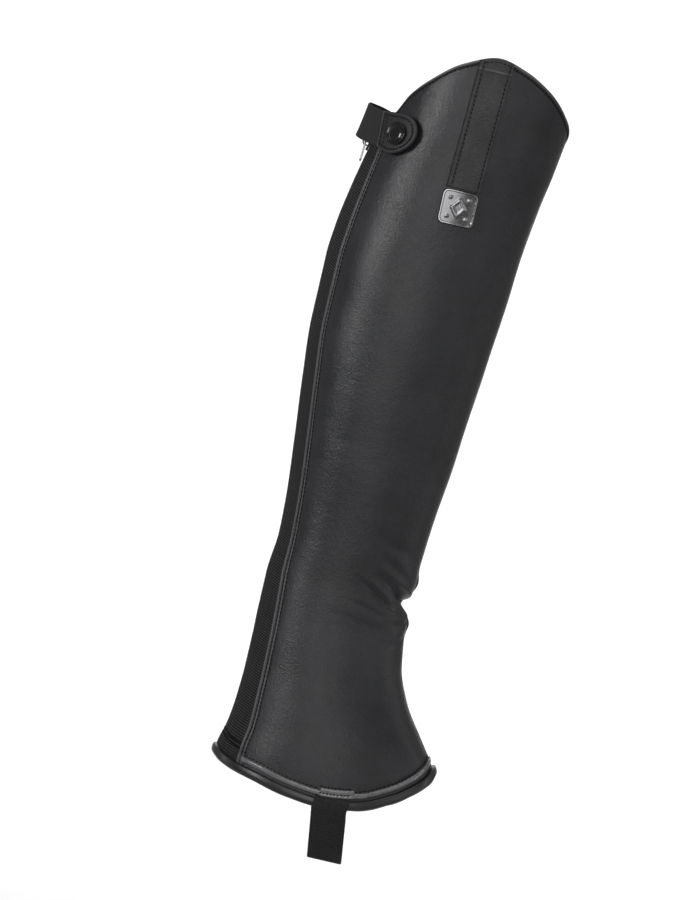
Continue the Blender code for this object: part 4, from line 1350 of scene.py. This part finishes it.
def make_slider():
    """The slider's two plates, its post and the bridge that holds the pull."""
    plate = (SLIDER_WIDE, SLIDER_TALL, SLIDER_PLATE)
    plate_inner = CHAIN_OFF + SLIDER_PLAY
    middle = plate_inner + SLIDER_PLATE / 2
    front = cube("front_plate", plate, (0, SLIDER_TALL / 2, middle))
    for corner in front.data.vertices:
        # The plate narrows a little towards its foot.
        if corner.co.y < 0.001:
            corner.co.x *= 0.8
    bevelled(front, 0.45, 3)
    back_off = CHAIN_OFF - CHAIN_THICK - SLIDER_PLAY - SLIDER_PLATE / 2
    back = bevelled(cube("back_plate", plate, (0, SLIDER_TALL / 2, back_off)), 0.4, 2)
    post_foot = ZIP_TOP - SLIDER_FOOT + 0.6
    post = cube("post", (2.4, 2.6, 3.6), (0, post_foot + 1.3, (middle + back_off) / 2))
    bpy.ops.mesh.primitive_torus_add(
        major_radius=2.5 * MM, minor_radius=0.5 * MM, major_segments=32, minor_segments=10
    )
    bail = bpy.context.active_object
    bail.data.transform(Matrix.Rotation(math.pi / 2, 4, "Y"))
    seat = plate_inner + SLIDER_PLATE
    for corner in bail.data.vertices:
        corner.co.z = corner.co.z * 0.98 + (BAIL_OFF - 0.65) * MM
        corner.co.x *= 1.9
        corner.co.y += (BAIL_HEIGHT - SLIDER_FOOT) * MM
        corner.co.z = max(corner.co.z, (seat - 0.25) * MM)
    slider = joined("slider", [front, back, post, bail])
    place = frame_at(CHAIN_MIDDLE, SLIDER_FOOT, 0.0)
    settled(slider, place, "lacquer", "black_metal", "zip_slider")


def make_pull():
    """The pull tab keeps its solid's shape; only its finish changes."""
    finished(bpy.data.objects["zip_pull"], "silver")


def make_band():
    """The band down the outer side, its edges pressed down by stitching, and its patch."""
    shares = np.array((0.0, 0.008, 0.022, 0.05, 0.09, 0.13, 0.17, 0.24, 0.33, 0.42, 0.5, 0.58,
                       0.67, 0.76, 0.84, 0.88, 0.92, 0.95, 0.978, 0.992, 1.0))
    samples = np.arange(370.0, 470.0, 2.0)

    def edge_line(line):
        """An edge's distance round, read once along its height and then followed."""
        (top, top_across), (foot, foot_across) = line
        across = top_across + (samples - top) / (foot - top) * (foot_across - top_across)
        found = leg.outer_at(across, samples)
        return lambda height: np.interp(height, samples, found)

    left, right = edge_line(BAND_LEFT), edge_line(BAND_RIGHT)

    def piece_of(name, node, foot, inner_off, row_count, coarse, rub):
        lines = between(shares, left, right)
        top = top_at(lines, np.full(len(shares), BAND_TOP_GUESS)) - BAND_TRIM
        height = rows_between(foot + 0.0 * top, top, (0.0, 0.2, 0.6, 1.2),
                              np.linspace(0.0, 1.0, row_count))
        around = between(shares[:, None], left, right)(height)
        width = right(height) - left(height)
        from_left, from_right = shares[:, None] * width, (1 - shares[:, None]) * width
        ends = np.minimum(height - foot, top[:, None] - height)
        edge = np.minimum(np.minimum(from_left, from_right), ends)
        relief = -0.5 * (1 - smooth(0.0, 0.5, edge))
        grooves = [bell(from_left, BAND_ROWS[0], 0.6), bell(from_right, BAND_ROWS[1], 0.6)]
        for groove in grooves:
            relief = relief - 0.22 * groove
        crumple = np.sin(around * 0.9 + 0.35 * height) * np.sin(height * 0.53 - around * 0.31)
        relief = relief + coarse * crumple * smooth(0.0, 3.0, ends)
        # Painted shade in the sewing's grooves and along the left edge; on the patch, rub sets a
        # painted highlight along its foot.
        shade = 0.6 * sum(grooves) + bell(from_left, 0.0, 0.7) - rub * bell(height - foot, 0.8, 0.7)
        made = laid(name, around, height, inner_off + BAND_THICK + relief, inner_off,
                    LOOKS["band"], shade=np.clip(shade, -1.0, 1.0))
        return assigned(made, "band_leather", node)

    band = piece_of("band_strip", "top_band", BAND_FOOT, GAP, 60, 0.03, 0.0)
    piece_of("band_patch", "top_patch", PATCH_FOOT, GAP + BAND_THICK + GAP, 14, 0.10, 0.7)

    runs = []
    rows = ((left, BAND_ROWS[0]), (right, -BAND_ROWS[1]))
    for line, inset in rows:
        heights = np.linspace(BAND_FOOT + 1.5, PATCH_FOOT - 1.0, 120)
        runs.append(run_on_leg(line(heights) + inset, heights, GAP + BAND_THICK - 0.1))
    patch_off = 2 * (GAP + BAND_THICK) - 0.1
    for line, inset in rows:
        edge = float(top_at(lambda at: line(at) + inset, BAND_TOP_GUESS)) - BAND_TRIM
        heights = np.linspace(PATCH_FOOT + 1.0, edge - 1.2, 30)
        runs.append(run_on_leg(line(heights) + inset, heights, patch_off))
    lines = between(np.linspace(0.16, 0.9, 60), left, right)
    heights = top_at(lines, np.full(60, BAND_TOP_GUESS)) - BAND_TRIM - 2.2
    runs.append(run_on_leg(lines(heights), heights, patch_off))
    seam("band_stitches", "band_leather", runs)


def make_badge():
    """A square metal badge with a raised rim, a plain raised lozenge and four round dots."""
    left, right = BADGE_ACROSS
    low, high = BADGE_HEIGHTS
    wide, tall = right - left, high - low
    steps = (0.0, 0.15, 0.45, 0.8, 1.2, 1.6, 2.0, 2.6)
    across = spread(-wide / 2, wide / 2, *steps, middle=0.7)
    upward = spread(-tall / 2, tall / 2, *steps, middle=0.7)
    x, z = np.meshgrid(across, upward, indexing="ij")
    # Points are pulled in so that the outline's corners are round.
    share_x, share_z = x / (wide / 2), z / (tall / 2)
    square = np.maximum(abs(share_x), abs(share_z)) + 1e-9
    angle = np.arctan2(share_z, share_x)
    core = 1 - BADGE_CORNER / (wide / 2)
    reach = []
    for turn in angle.ravel():
        ca, sa = abs(math.cos(turn)), abs(math.sin(turn))
        plain = 1.0 / max(ca, sa)
        # Where the ray meets the corner's arc, if it does.
        dot = core * ca + core * sa
        rest = 2 * core * core - (1 - core) ** 2
        root = dot * dot - rest
        arc = dot + math.sqrt(root) if root > 0 else plain
        hit_corner = ca * plain > core and sa * plain > core
        reach.append(min(plain, arc) if hit_corner else plain)
    # The outline's distance as a share of the square's along the same ray.
    reach = np.array(reach).reshape(angle.shape)
    reach = reach * np.maximum(abs(np.cos(angle)), abs(np.sin(angle)))
    pull = 1 + (reach - 1) * smooth(0.55, 1.0, square)
    x, z = x * pull, z * pull
    inward = (1 - square) * wide / 2
    rim = smooth(0.0, 0.5, inward) * 0.75 + 0.25
    thick = BADGE_THICK * rim - 0.55 * smooth(1.1, 1.6, inward)
    lozenge = abs(x) / BADGE_LOZENGE[0] + abs(z) / BADGE_LOZENGE[1]
    thick = thick + 0.5 * (1 - smooth(0.86, 1.0, lozenge))
    thick = thick - 0.3 * (1 - smooth(0.52, 0.64, lozenge))
    for dot_x in (-BADGE_DOTS_AT, BADGE_DOTS_AT):
        for dot_z in (-BADGE_DOTS_AT, BADGE_DOTS_AT):
            away = np.hypot(x - dot_x, z - dot_z)
            dome = np.sqrt(np.clip(1 - (away / BADGE_DOT_RADIUS) ** 2, 0.0, 1.0))
            thick = thick + 0.45 * dome
    height = (low + high) / 2 + z
    around = leg.outer_at((left + right) / 2 + x, height)
    # Painted shade and a painted dark reflection in the recess between the rim and the lozenge.
    piece = laid("metal_badge", around, height, GAP + thick, GAP, LOOKS["badge"], sharp=25.0,
                 shade=1 - smooth(0.62, 0.80, thick / BADGE_THICK))
    assigned(piece, "silver_metal", "badge")


def tab_spots(around, aside):
    """Points on the closing tab, aside above its middle line and square to it."""
    height = TAB_HEIGHT(around) + aside * math.sqrt(1 - TAB_SLOPE ** 2)
    return around + TAB_SLOPE * aside, height


def tab_leather_at(at):
    """The half height and the lean of the tab's leather at a distance along it."""
    start, end = TAB_LEATHER_SPAN
    centre = end - TAB_END_HALF_HEIGHT
    share = np.clip((at - start) / (centre - start), 0.0, 1.0)
    past = np.clip((at - centre) / TAB_END_HALF_HEIGHT, 0.0, 1.0)
    half = TAB_HALF_HEIGHT + share * (TAB_END_HALF_HEIGHT - TAB_HALF_HEIGHT)
    return half * np.sqrt(1 - past ** 2), (1 - share) * TAB_LEAN


def make_tab_elastic():
    """The tab's elastic length, from the inner back edge round the back."""
    start, end = TAB_ELASTIC_SPAN
    ways = np.linspace(0.0, 1.0, 96)
    shares = np.concatenate(([-1.0, -0.99, -0.96, -0.9], np.linspace(-0.82, 0.82, 13),
                             [0.9, 0.96, 0.99, 1.0]))
    way, aside = np.meshgrid(ways, shares * TAB_HALF_HEIGHT, indexing="ij")
    along = start + way * (end - start) + way * TAB_LEAN * aside
    around, height = tab_spots(along, aside)
    edge = TAB_HALF_HEIGHT - abs(aside)
    roll = -0.42 * (1 - smooth(0.0, 0.5, edge)) + 0.12 * bell(edge, 1.2, 0.7)
    off = TAB_OFF(along)
    piece = laid("tab_band", around, height, off + ELASTIC + roll, off, LOOKS["tab_elastic"])
    assigned(piece, "elastic", "tab_elastic")


def make_tab_leather():
    """The tab's leather end, domed, with a groove where its sewing runs."""
    start, end = TAB_LEATHER_SPAN
    centre = end - TAB_END_HALF_HEIGHT
    flat_part = np.concatenate((start + np.array((0.0, 0.15, 0.5, 1.0)),
                                np.linspace(start + 1.8, centre, 10)[:-1]))
    turns = np.radians(np.linspace(0.0, 88.0, 26))
    way = np.concatenate((flat_part, centre + TAB_END_HALF_HEIGHT * np.sin(turns)))[:, None]
    half, lean = tab_leather_at(way)
    aside = half * np.concatenate(([-1.0, -0.99, -0.965, -0.93, -0.88],
                                   np.linspace(-0.82, 0.82, 15), [0.88, 0.93, 0.965, 0.99, 1.0]))
    along = way + lean * aside
    # How far in from the tab's outline each point lies.
    past = np.maximum(way - centre, 0.0)
    inset = np.where(past > 0, TAB_END_HALF_HEIGHT - np.hypot(past, aside), half - np.abs(aside))
    inset = np.minimum(inset, way - start)
    around, height = tab_spots(along, aside)
    sewn = bell(inset, TAB_ROW, 0.55)
    dome = -0.75 * (1 - smooth(0.0, 0.9, inset)) ** 2 - 0.24 * sewn
    lift = TAB_OFF(along) + ELASTIC + GAP
    # Painted shade in the sewing's groove, and a painted highlight round the outline and along the
    # straight end.
    shade = 0.7 * sewn - 0.3 * bell(inset, 0.7, 0.5)
    shade = shade - 0.4 * bell(way - start, 0.7, 0.6) * (inset > 0.3)
    tab = laid("tab_end", around, height, lift + TAB_LEATHER + dome, lift,
               LOOKS["edge_leather"], shade=shade)
    assigned(tab, "panel_leather", "tab_leather")


def make_tab_stitches():
    """The row round the tab's leather and the two across each end of its elastic."""
    start, end = TAB_LEATHER_SPAN
    centre = end - TAB_END_HALF_HEIGHT
    sides = []
    for at in np.linspace(start + 2.0, centre, 20):
        half, lean = tab_leather_at(at)
        sides.append((at, lean, half - TAB_ROW))
    path = [(at - lean * aside, -aside) for at, lean, aside in sides]
    radius = TAB_END_HALF_HEIGHT - TAB_ROW
    path += [(centre + radius * math.sin(turn), -radius * math.cos(turn))
             for turn in np.radians(np.linspace(4.0, 176.0, 50))]
    path += [(at + lean * aside, aside) for at, lean, aside in reversed(sides)]
    on_leather = ELASTIC + GAP + TAB_LEATHER - 0.1
    lines = [(path, on_leather)]
    for at in (start + 2.2, start + 5.0):
        row = [(at + TAB_LEAN * up, up) for up in np.linspace(-8.8, 8.8, 20)]
        lines.append((row, on_leather))
    for at in (TAB_ELASTIC_SPAN[0] + 1.6, TAB_ELASTIC_SPAN[0] + 4.4):
        lines.append(([(at, up) for up in np.linspace(-10.5, 10.5, 20)], ELASTIC - 0.02))
    runs = []
    for line, off in lines:
        along, aside = np.array(line).T
        runs.append(run_on_leg(*tab_spots(along, aside), TAB_OFF(along) + off))
    seam("tab_stitches", "panel_leather", runs, pitch=2.6, length=1.9)


def select_faces(mesh, chosen):
    """Selects the faces, and only them, that chosen says yes to by their middle and normal."""
    for face in mesh.faces:
        face.select_set(bool(chosen(face.calc_center_median(), face.normal)))
    mesh.select_flush_mode()


def make_press_stud():
    """The round cap on the tab: turned rim, groove and low dome with a ring of small beads."""
    height = float(TAB_HEIGHT(STUD_ROUND))
    off = float(TAB_OFF(STUD_ROUND)) + ELASTIC + GAP + TAB_LEATHER + GAP
    bpy.ops.object.select_all(action="DESELECT")
    bpy.ops.mesh.primitive_cylinder_add(
        vertices=64, radius=CAP_RADIUS * MM, depth=CAP_TALL * MM, end_fill_type="NGON"
    )
    cap = bpy.context.active_object
    cap.data.transform(Matrix.Translation((0.0, 0.0, CAP_TALL / 2 * MM)))
    bpy.ops.object.mode_set(mode="EDIT")
    bpy.ops.mesh.select_mode(type="FACE")
    for inset, lift in CAP_STEPS:
        mesh = bmesh.from_edit_mesh(cap.data)
        top = max(face.calc_center_median().z for face in mesh.faces if len(face.verts) > 4)
        select_faces(mesh, lambda middle, out: out.z > 0.5 and middle.z > top - 1e-6 and
                     middle.xy.length < 0.2 * MM)
        bmesh.update_edit_mesh(cap.data)
        bpy.ops.mesh.inset(thickness=inset * MM, depth=lift * MM)
    bpy.ops.object.mode_set(mode="OBJECT")
    bevelled(cap, 0.28, 3, 40.0)
    beads = []
    for number in range(BEADS):
        turn = 2 * math.pi * number / BEADS
        bpy.ops.mesh.primitive_uv_sphere_add(
            segments=10, ring_count=6, radius=BEAD_RADIUS * MM,
            location=(BEAD_RING * MM * math.cos(turn), BEAD_RING * MM * math.sin(turn), 2.0 * MM),
        )
        bead = bpy.context.active_object
        bead.data.transform(bead.matrix_basis)
        bead.matrix_basis = Matrix.Identity(4)
        beads.append(bead)
    cap = joined("stud_cap", [cap] + beads)
    settled(cap, frame_at(STUD_ROUND, height, off), "lacquer", "black_metal", "snap_cap")
    finished(bpy.data.objects["snap_stud"], "lacquer")


def strap_rise(around, height):
    """1 where the strap's end lies under the glossy strip, 0 clear of it on either side."""
    across = np.abs(strap_across(around, height))
    return 1 - smooth(0.0, 1.0, (across - STRAP_WIDE / 2 - STRIP_CLEAR) / STRIP_RAMP)


def hem_rings(start, end, count, profile):
    """Rings of points round the hem between two lines, with a profile's rows in each."""
    shares = np.linspace(0.0, 1.0, count)
    around = between(shares, start, end)
    guess = np.zeros(count)
    line = hem_at(around, guess)
    rise = strap_rise(around(line), line)
    rings = []
    for down, off in profile(shares, rise, over_strap(around(line), line)):
        height = below_hem(around, down, guess)
        rings.append(leg.on(around(height), height, off))
    return np.stack(rings, axis=1)


def strip_profile(shares, rise, over):
    """The glossy strip's rows, (down, off): its upper edge steps up over the strap's end."""
    inner = GAP + rise * (STRAP_THICK + GAP)
    # The stitches pull the upper edge in and let it out between them.
    wave = 0.5 + 0.5 * np.cos(2 * math.pi * shares * STRIP_WAVES)
    face = []
    for (down, out), (step_down, step_out) in zip(STRIP_FACE, STRIP_FACE_AT_STRAP):
        near = max(0.0, 1.0 - down / 0.9)
        ridge = 0.3 * over * wave * max(0.0, 1.0 - abs(down - 2.6) / 0.6)
        notch = 0.6 * 4 * over * (1 - over)
        down = down + over * (step_down - down) + 0.22 * near * wave
        out = out + over * (step_out - out) - 0.16 * near * wave - (ridge + notch) * out
        face.append((down, inner + out * STRIP_THICK))
    face[0] = (face[0][0], inner)
    return face


def rand_profile(shares, _rise, _over):
    """The rand's rows, (down, off): a lip above, a round face that is fullest at the shin."""
    flat = np.zeros(len(shares))
    proud = RAND_PROUD + bell(shares, 0.5, RAND_SHIN_SPREAD) * (RAND_PROUD_SHIN - RAND_PROUD)
    face = [(RAND_TOP - RAND_LIP, RAND_INSIDE + flat), (RAND_TOP - RAND_LIP, flat - 0.4)]
    face += [(RAND_TOP + down, out * proud) for down, out in RAND_FACE]
    face += [(RAND_BOTTOM - 0.1, 0.5 * RAND_INSIDE + flat),
             (RAND_BOTTOM - 0.4, RAND_INSIDE + flat)]
    return face


def make_hem():
    """Glossy strip sewn over the leather's foot, and the rubber rand under it."""
    rings = hem_rings(outer_edge(STRIP_INSET), inner_edge(STRIP_INSET), 625, strip_profile)
    assigned(bar("binding_strip", rings, LOOKS["strip"]), "glossy_strip", "hem_strip")
    rings = hem_rings(level(OUTER_TAPE[1] + GAP), inner_edge(0.0), 420, rand_profile)
    assigned(bar("rubber_rand", rings, LOOKS["rubber"]), "rubber", "hem_rand")


def strap_route(lanes):
    """The strap's rows from one end to the other, and how far along its middle each lies."""
    around = leg.outer_at(STRAP_ACROSS + lanes, np.zeros(len(lanes)))
    half = []
    for down, off in STRAP_ROUTE:
        height = below_hem(level(around), down, np.zeros(len(lanes)))
        half.append(leg.on(around, height, off + STRAP_THICK / 2))
    last = half[-1]
    bottom = STRAP_BOTTOM + STRAP_THICK / 2
    for share in (0.9, 0.78, 0.64, 0.5, 0.34, 0.17, 0.0):
        fall = 1 - share ** STRAP_SAG
        x = last[:, 0] + STRAP_FORWARD * fall
        z = last[:, 2] + (bottom - last[:, 2]) * fall
        half.append(np.stack((x, last[:, 1] * share, z), -1))
    path = np.array(half + [row * (1, -1, 1) for row in reversed(half[:-1])])
    middle = path[:, len(lanes) // 2]
    steps = np.linalg.norm(np.diff(middle, axis=0), axis=1)
    return path, np.concatenate(([0.0], np.cumsum(steps)))


def make_strap():
    """Stirrup strap: webbing with ribs across it, from under the glossy strip on the outer
    side, over the rand, under the foot and up to the inner side."""
    lanes = both_ways(0.16, 0.33, 0.5, 0.66, 0.8, 0.9, 0.95, 0.985, 1.0) * STRAP_WIDE / 2
    path, gone = strap_route(lanes)
    fine = np.arange(0.0, gone[-1], WEB_RIB / 4)

    def followed(lane, axis):
        """A smooth curve through one lane of the route, along one axis."""
        return Curve(list(zip(gone, path[:, lane, axis])), 1)(fine)

    rows = np.stack([np.stack([followed(lane, axis) for axis in range(3)], -1)
                     for lane in range(len(lanes))], axis=1)
    out = np.cross(np.gradient(rows, axis=1), np.gradient(rows, axis=0))
    out /= np.linalg.norm(out, axis=-1, keepdims=True)
    edge = STRAP_WIDE / 2 - np.abs(lanes)
    rib = 0.11 * np.cos(2 * math.pi * fine / WEB_RIB)[:, None] * smooth(0.3, 1.2, edge)
    selvedge = 0.30 * (1 - smooth(0.0, 0.5, edge))
    # The fold where it leaves the rand, the same on both sides: a dip with painted shade in it.
    fold = sum(bell(fine, at, 1.3) for at in (STRAP_FOLD_AT, gone[-1] - STRAP_FOLD_AT))[:, None]
    fold = fold * (0.7 + 0.3 * np.cos(0.5 * lanes + 1.0))
    thick = STRAP_THICK / 2 - 0.08 + rib - selvedge - 0.28 * fold
    outer, inner = rows + out * thick[..., None], rows - out * thick[..., None]
    # The lanes come first, so that the faces look outward.
    piece = wall("stirrup_webbing", outer.swapaxes(0, 1), inner.swapaxes(0, 1),
                 LOOKS["webbing"], flat=np.stack(np.meshgrid(lanes, fine, indexing="ij"), -1),
                 shade=np.clip(1.1 * fold, 0.0, 1.0).T)
    assigned(piece, "elastic", "stirrup_strap")

    lane = np.linspace(-STRAP_WIDE / 2 + 0.9, STRAP_WIDE / 2 - 0.9, 40)
    place = leg.outer_at(STRAP_ACROSS + lane, np.zeros(40))
    runs = []
    for side in (1, -1):
        for down, off in ((-1.1 - STRAP_STEP, 0.0), (1.45, 2 * GAP + STRAP_THICK + 0.5)):
            height = below_hem(level(place), down, np.zeros(40))
            line, outs = run_on_leg(place, height, off)
            runs.append((line * (1, side, 1), outs * (1, side, 1)))
    seam("strap_stitches", "elastic", runs, pitch=2.3, length=1.7, thread=0.42)


# ---------------------------------------------------------------- stage


def add_light(name, place, target, size, power, spread):
    """A soft light; spread is the angle of its beam, as a grid on its face narrows it."""
    light = bpy.data.lights.new(name, "AREA")
    light.spread = math.radians(spread)
    light.shape = "RECTANGLE"
    light.size, light.size_y = size
    light.energy = power
    item = bpy.data.objects.new(name, light)
    bpy.context.scene.collection.objects.link(item)
    item.location = place
    way = Vector(target) - Vector(place)
    item.rotation_euler = way.to_track_quat("-Z", "Y").to_euler()


def make_backdrop(colour):
    """A seamless pale sheet: a floor that bends up into a wall."""
    curve = [(BACKDROP_FRONT, 0.0), (BACKDROP_BEND_AT, 0.0)]
    curve += [(BACKDROP_BEND_AT + BACKDROP_BEND * math.sin(turn),
               BACKDROP_BEND * (1 - math.cos(turn)))
              for turn in np.linspace(0.1, math.pi / 2, 16)]
    curve += [(BACKDROP_BEND_AT + BACKDROP_BEND, BACKDROP_TALL)]
    sides = (-BACKDROP_HALF_WIDE, BACKDROP_HALF_WIDE)
    points = [(x, y, FLOOR + z) for x in sides for y, z in curve]
    count = len(curve)
    faces = [(row, row + count, row + count + 1, row + 1) for row in range(count - 1)]
    mesh = bpy.data.meshes.new("backdrop")
    mesh.from_pydata(points, [], faces)
    look = Look("backdrop paper", 0.9)
    light = tuple(min(1.0, channel) for channel in tinted(1.02, colour))
    paper = look.finish(Base_Color=look.mix(look.noise(0.4, 2.0, 0.5), colour, light))
    new_piece("backdrop", mesh, paper)


def make_world():
    """Pale surroundings where they are seen, dim ones where they light the piece."""
    world = bpy.data.worlds.new("studio")
    bpy.context.scene.world = world
    world.use_nodes = True
    nodes, links = world.node_tree.nodes, world.node_tree.links
    background = nodes["Background"]
    background.inputs["Color"].default_value = (1.0, 1.0, 1.0, 1.0)
    rays = nodes.new("ShaderNodeLightPath")
    strength = nodes.new("ShaderNodeMath")
    strength.operation = "MULTIPLY_ADD"
    strength.inputs[1].default_value = SEEN_WORLD - DIM_WORLD
    strength.inputs[2].default_value = DIM_WORLD
    links.new(rays.outputs["Is Camera Ray"], strength.inputs[0])
    links.new(strength.outputs[0], background.inputs["Strength"])
    bpy.context.scene.view_settings.view_transform = "Standard"


def make_camera():
    """The camera, rolled about its own line of sight."""
    camera = bpy.data.cameras.new("camera")
    camera.sensor_fit = "VERTICAL"
    camera.sensor_height = SENSOR
    camera.lens = SENSOR * VIEW_DISTANCE / VIEW_HEIGHT
    camera.clip_end = 40.0
    item = bpy.data.objects.new("camera", camera)
    bpy.context.scene.collection.objects.link(item)
    right = Vector((math.cos(VIEW_ROLL), 0.0, math.sin(VIEW_ROLL)))
    up = Vector((-math.sin(VIEW_ROLL), 0.0, math.cos(VIEW_ROLL)))
    back = Vector((0.0, -1.0, 0.0))
    item.matrix_world = frame_of(right, up, back, Vector(VIEW_CENTRE) + VIEW_DISTANCE * back)
    bpy.context.scene.camera = item


# ---------------------------------------------------------------- operators


def settings():
    """The values in the sidebar's panel."""
    return bpy.context.scene.half_chap_sizes


class HALFCHAP_OT_leather_panel(bpy.types.Operator):
    """Leather panel round the shin, with its turned edges, dart and stitching"""

    bl_idname = "half_chap.leather_panel"
    bl_label = "Leather panel"

    def execute(self, context):
        make_panel()
        make_edge_stitches()
        return {"FINISHED"}


class HALFCHAP_OT_back(bpy.types.Operator):
    """Elastic gusset, zip tapes, teeth, foot box, slider and pull"""

    bl_idname = "half_chap.back"
    bl_label = "Gusset and zip"

    def execute(self, context):
        make_gusset()
        make_tapes()
        make_teeth()
        make_zip_box()
        make_slider()
        make_pull()
        return {"FINISHED"}


class HALFCHAP_OT_hem(bpy.types.Operator):
    """Glossy strip, rubber rand and stirrup strap"""

    bl_idname = "half_chap.hem"
    bl_label = "Hem and strap"

    def execute(self, context):
        make_hem()
        make_strap()
        return {"FINISHED"}


class HALFCHAP_OT_band(bpy.types.Operator):
    """Band, patch and badge on the outer side"""

    bl_idname = "half_chap.band"
    bl_label = "Band and badge"

    def execute(self, context):
        make_band()
        make_badge()
        return {"FINISHED"}


class HALFCHAP_OT_tab(bpy.types.Operator):
    """Closing tab with its press stud"""

    bl_idname = "half_chap.tab"
    bl_label = "Closing tab"

    def execute(self, context):
        make_tab_elastic()
        make_tab_leather()
        make_tab_stitches()
        make_press_stud()
        return {"FINISHED"}


class HALFCHAP_OT_stage(bpy.types.Operator):
    """Pale backdrop, soft lights and camera"""

    bl_idname = "half_chap.stage"
    bl_label = "Stage"

    def execute(self, context):
        make_backdrop(tuple(settings().backdrop_colour))
        make_world()
        for light in LIGHTS:
            add_light(*light)
        make_camera()
        return {"FINISHED"}


class HALFCHAP_PT_panel(bpy.types.Panel):
    """Lists the pieces of the half chap"""

    bl_idname = "HALFCHAP_PT_panel"
    bl_label = "Half Chap"
    bl_space_type = "VIEW_3D"
    bl_region_type = "UI"
    bl_category = "Half Chap"

    def draw(self, context):
        for name in HalfChapSizes.__annotations__:
            self.layout.prop(settings(), name)
        for operator in OPERATORS:
            self.layout.operator(operator.bl_idname)


OPERATORS = (
    HALFCHAP_OT_leather_panel,
    HALFCHAP_OT_back,
    HALFCHAP_OT_hem,
    HALFCHAP_OT_band,
    HALFCHAP_OT_tab,
    HALFCHAP_OT_stage,
)
CLASSES = (HalfChapSizes, *OPERATORS, HALFCHAP_PT_panel)


def register():
    for item in CLASSES:
        bpy.utils.register_class(item)
    bpy.types.Scene.half_chap_sizes = PointerProperty(type=HalfChapSizes)


def unregister():
    del bpy.types.Scene.half_chap_sizes
    for item in reversed(CLASSES):
        bpy.utils.unregister_class(item)


def main():
    register()
    make_looks(settings())
    bpy.ops.half_chap.stage()
    bpy.ops.half_chap.leather_panel()
    bpy.ops.half_chap.back()
    bpy.ops.half_chap.hem()
    bpy.ops.half_chap.band()
    bpy.ops.half_chap.tab()


if __name__ == "__main__":
    main()
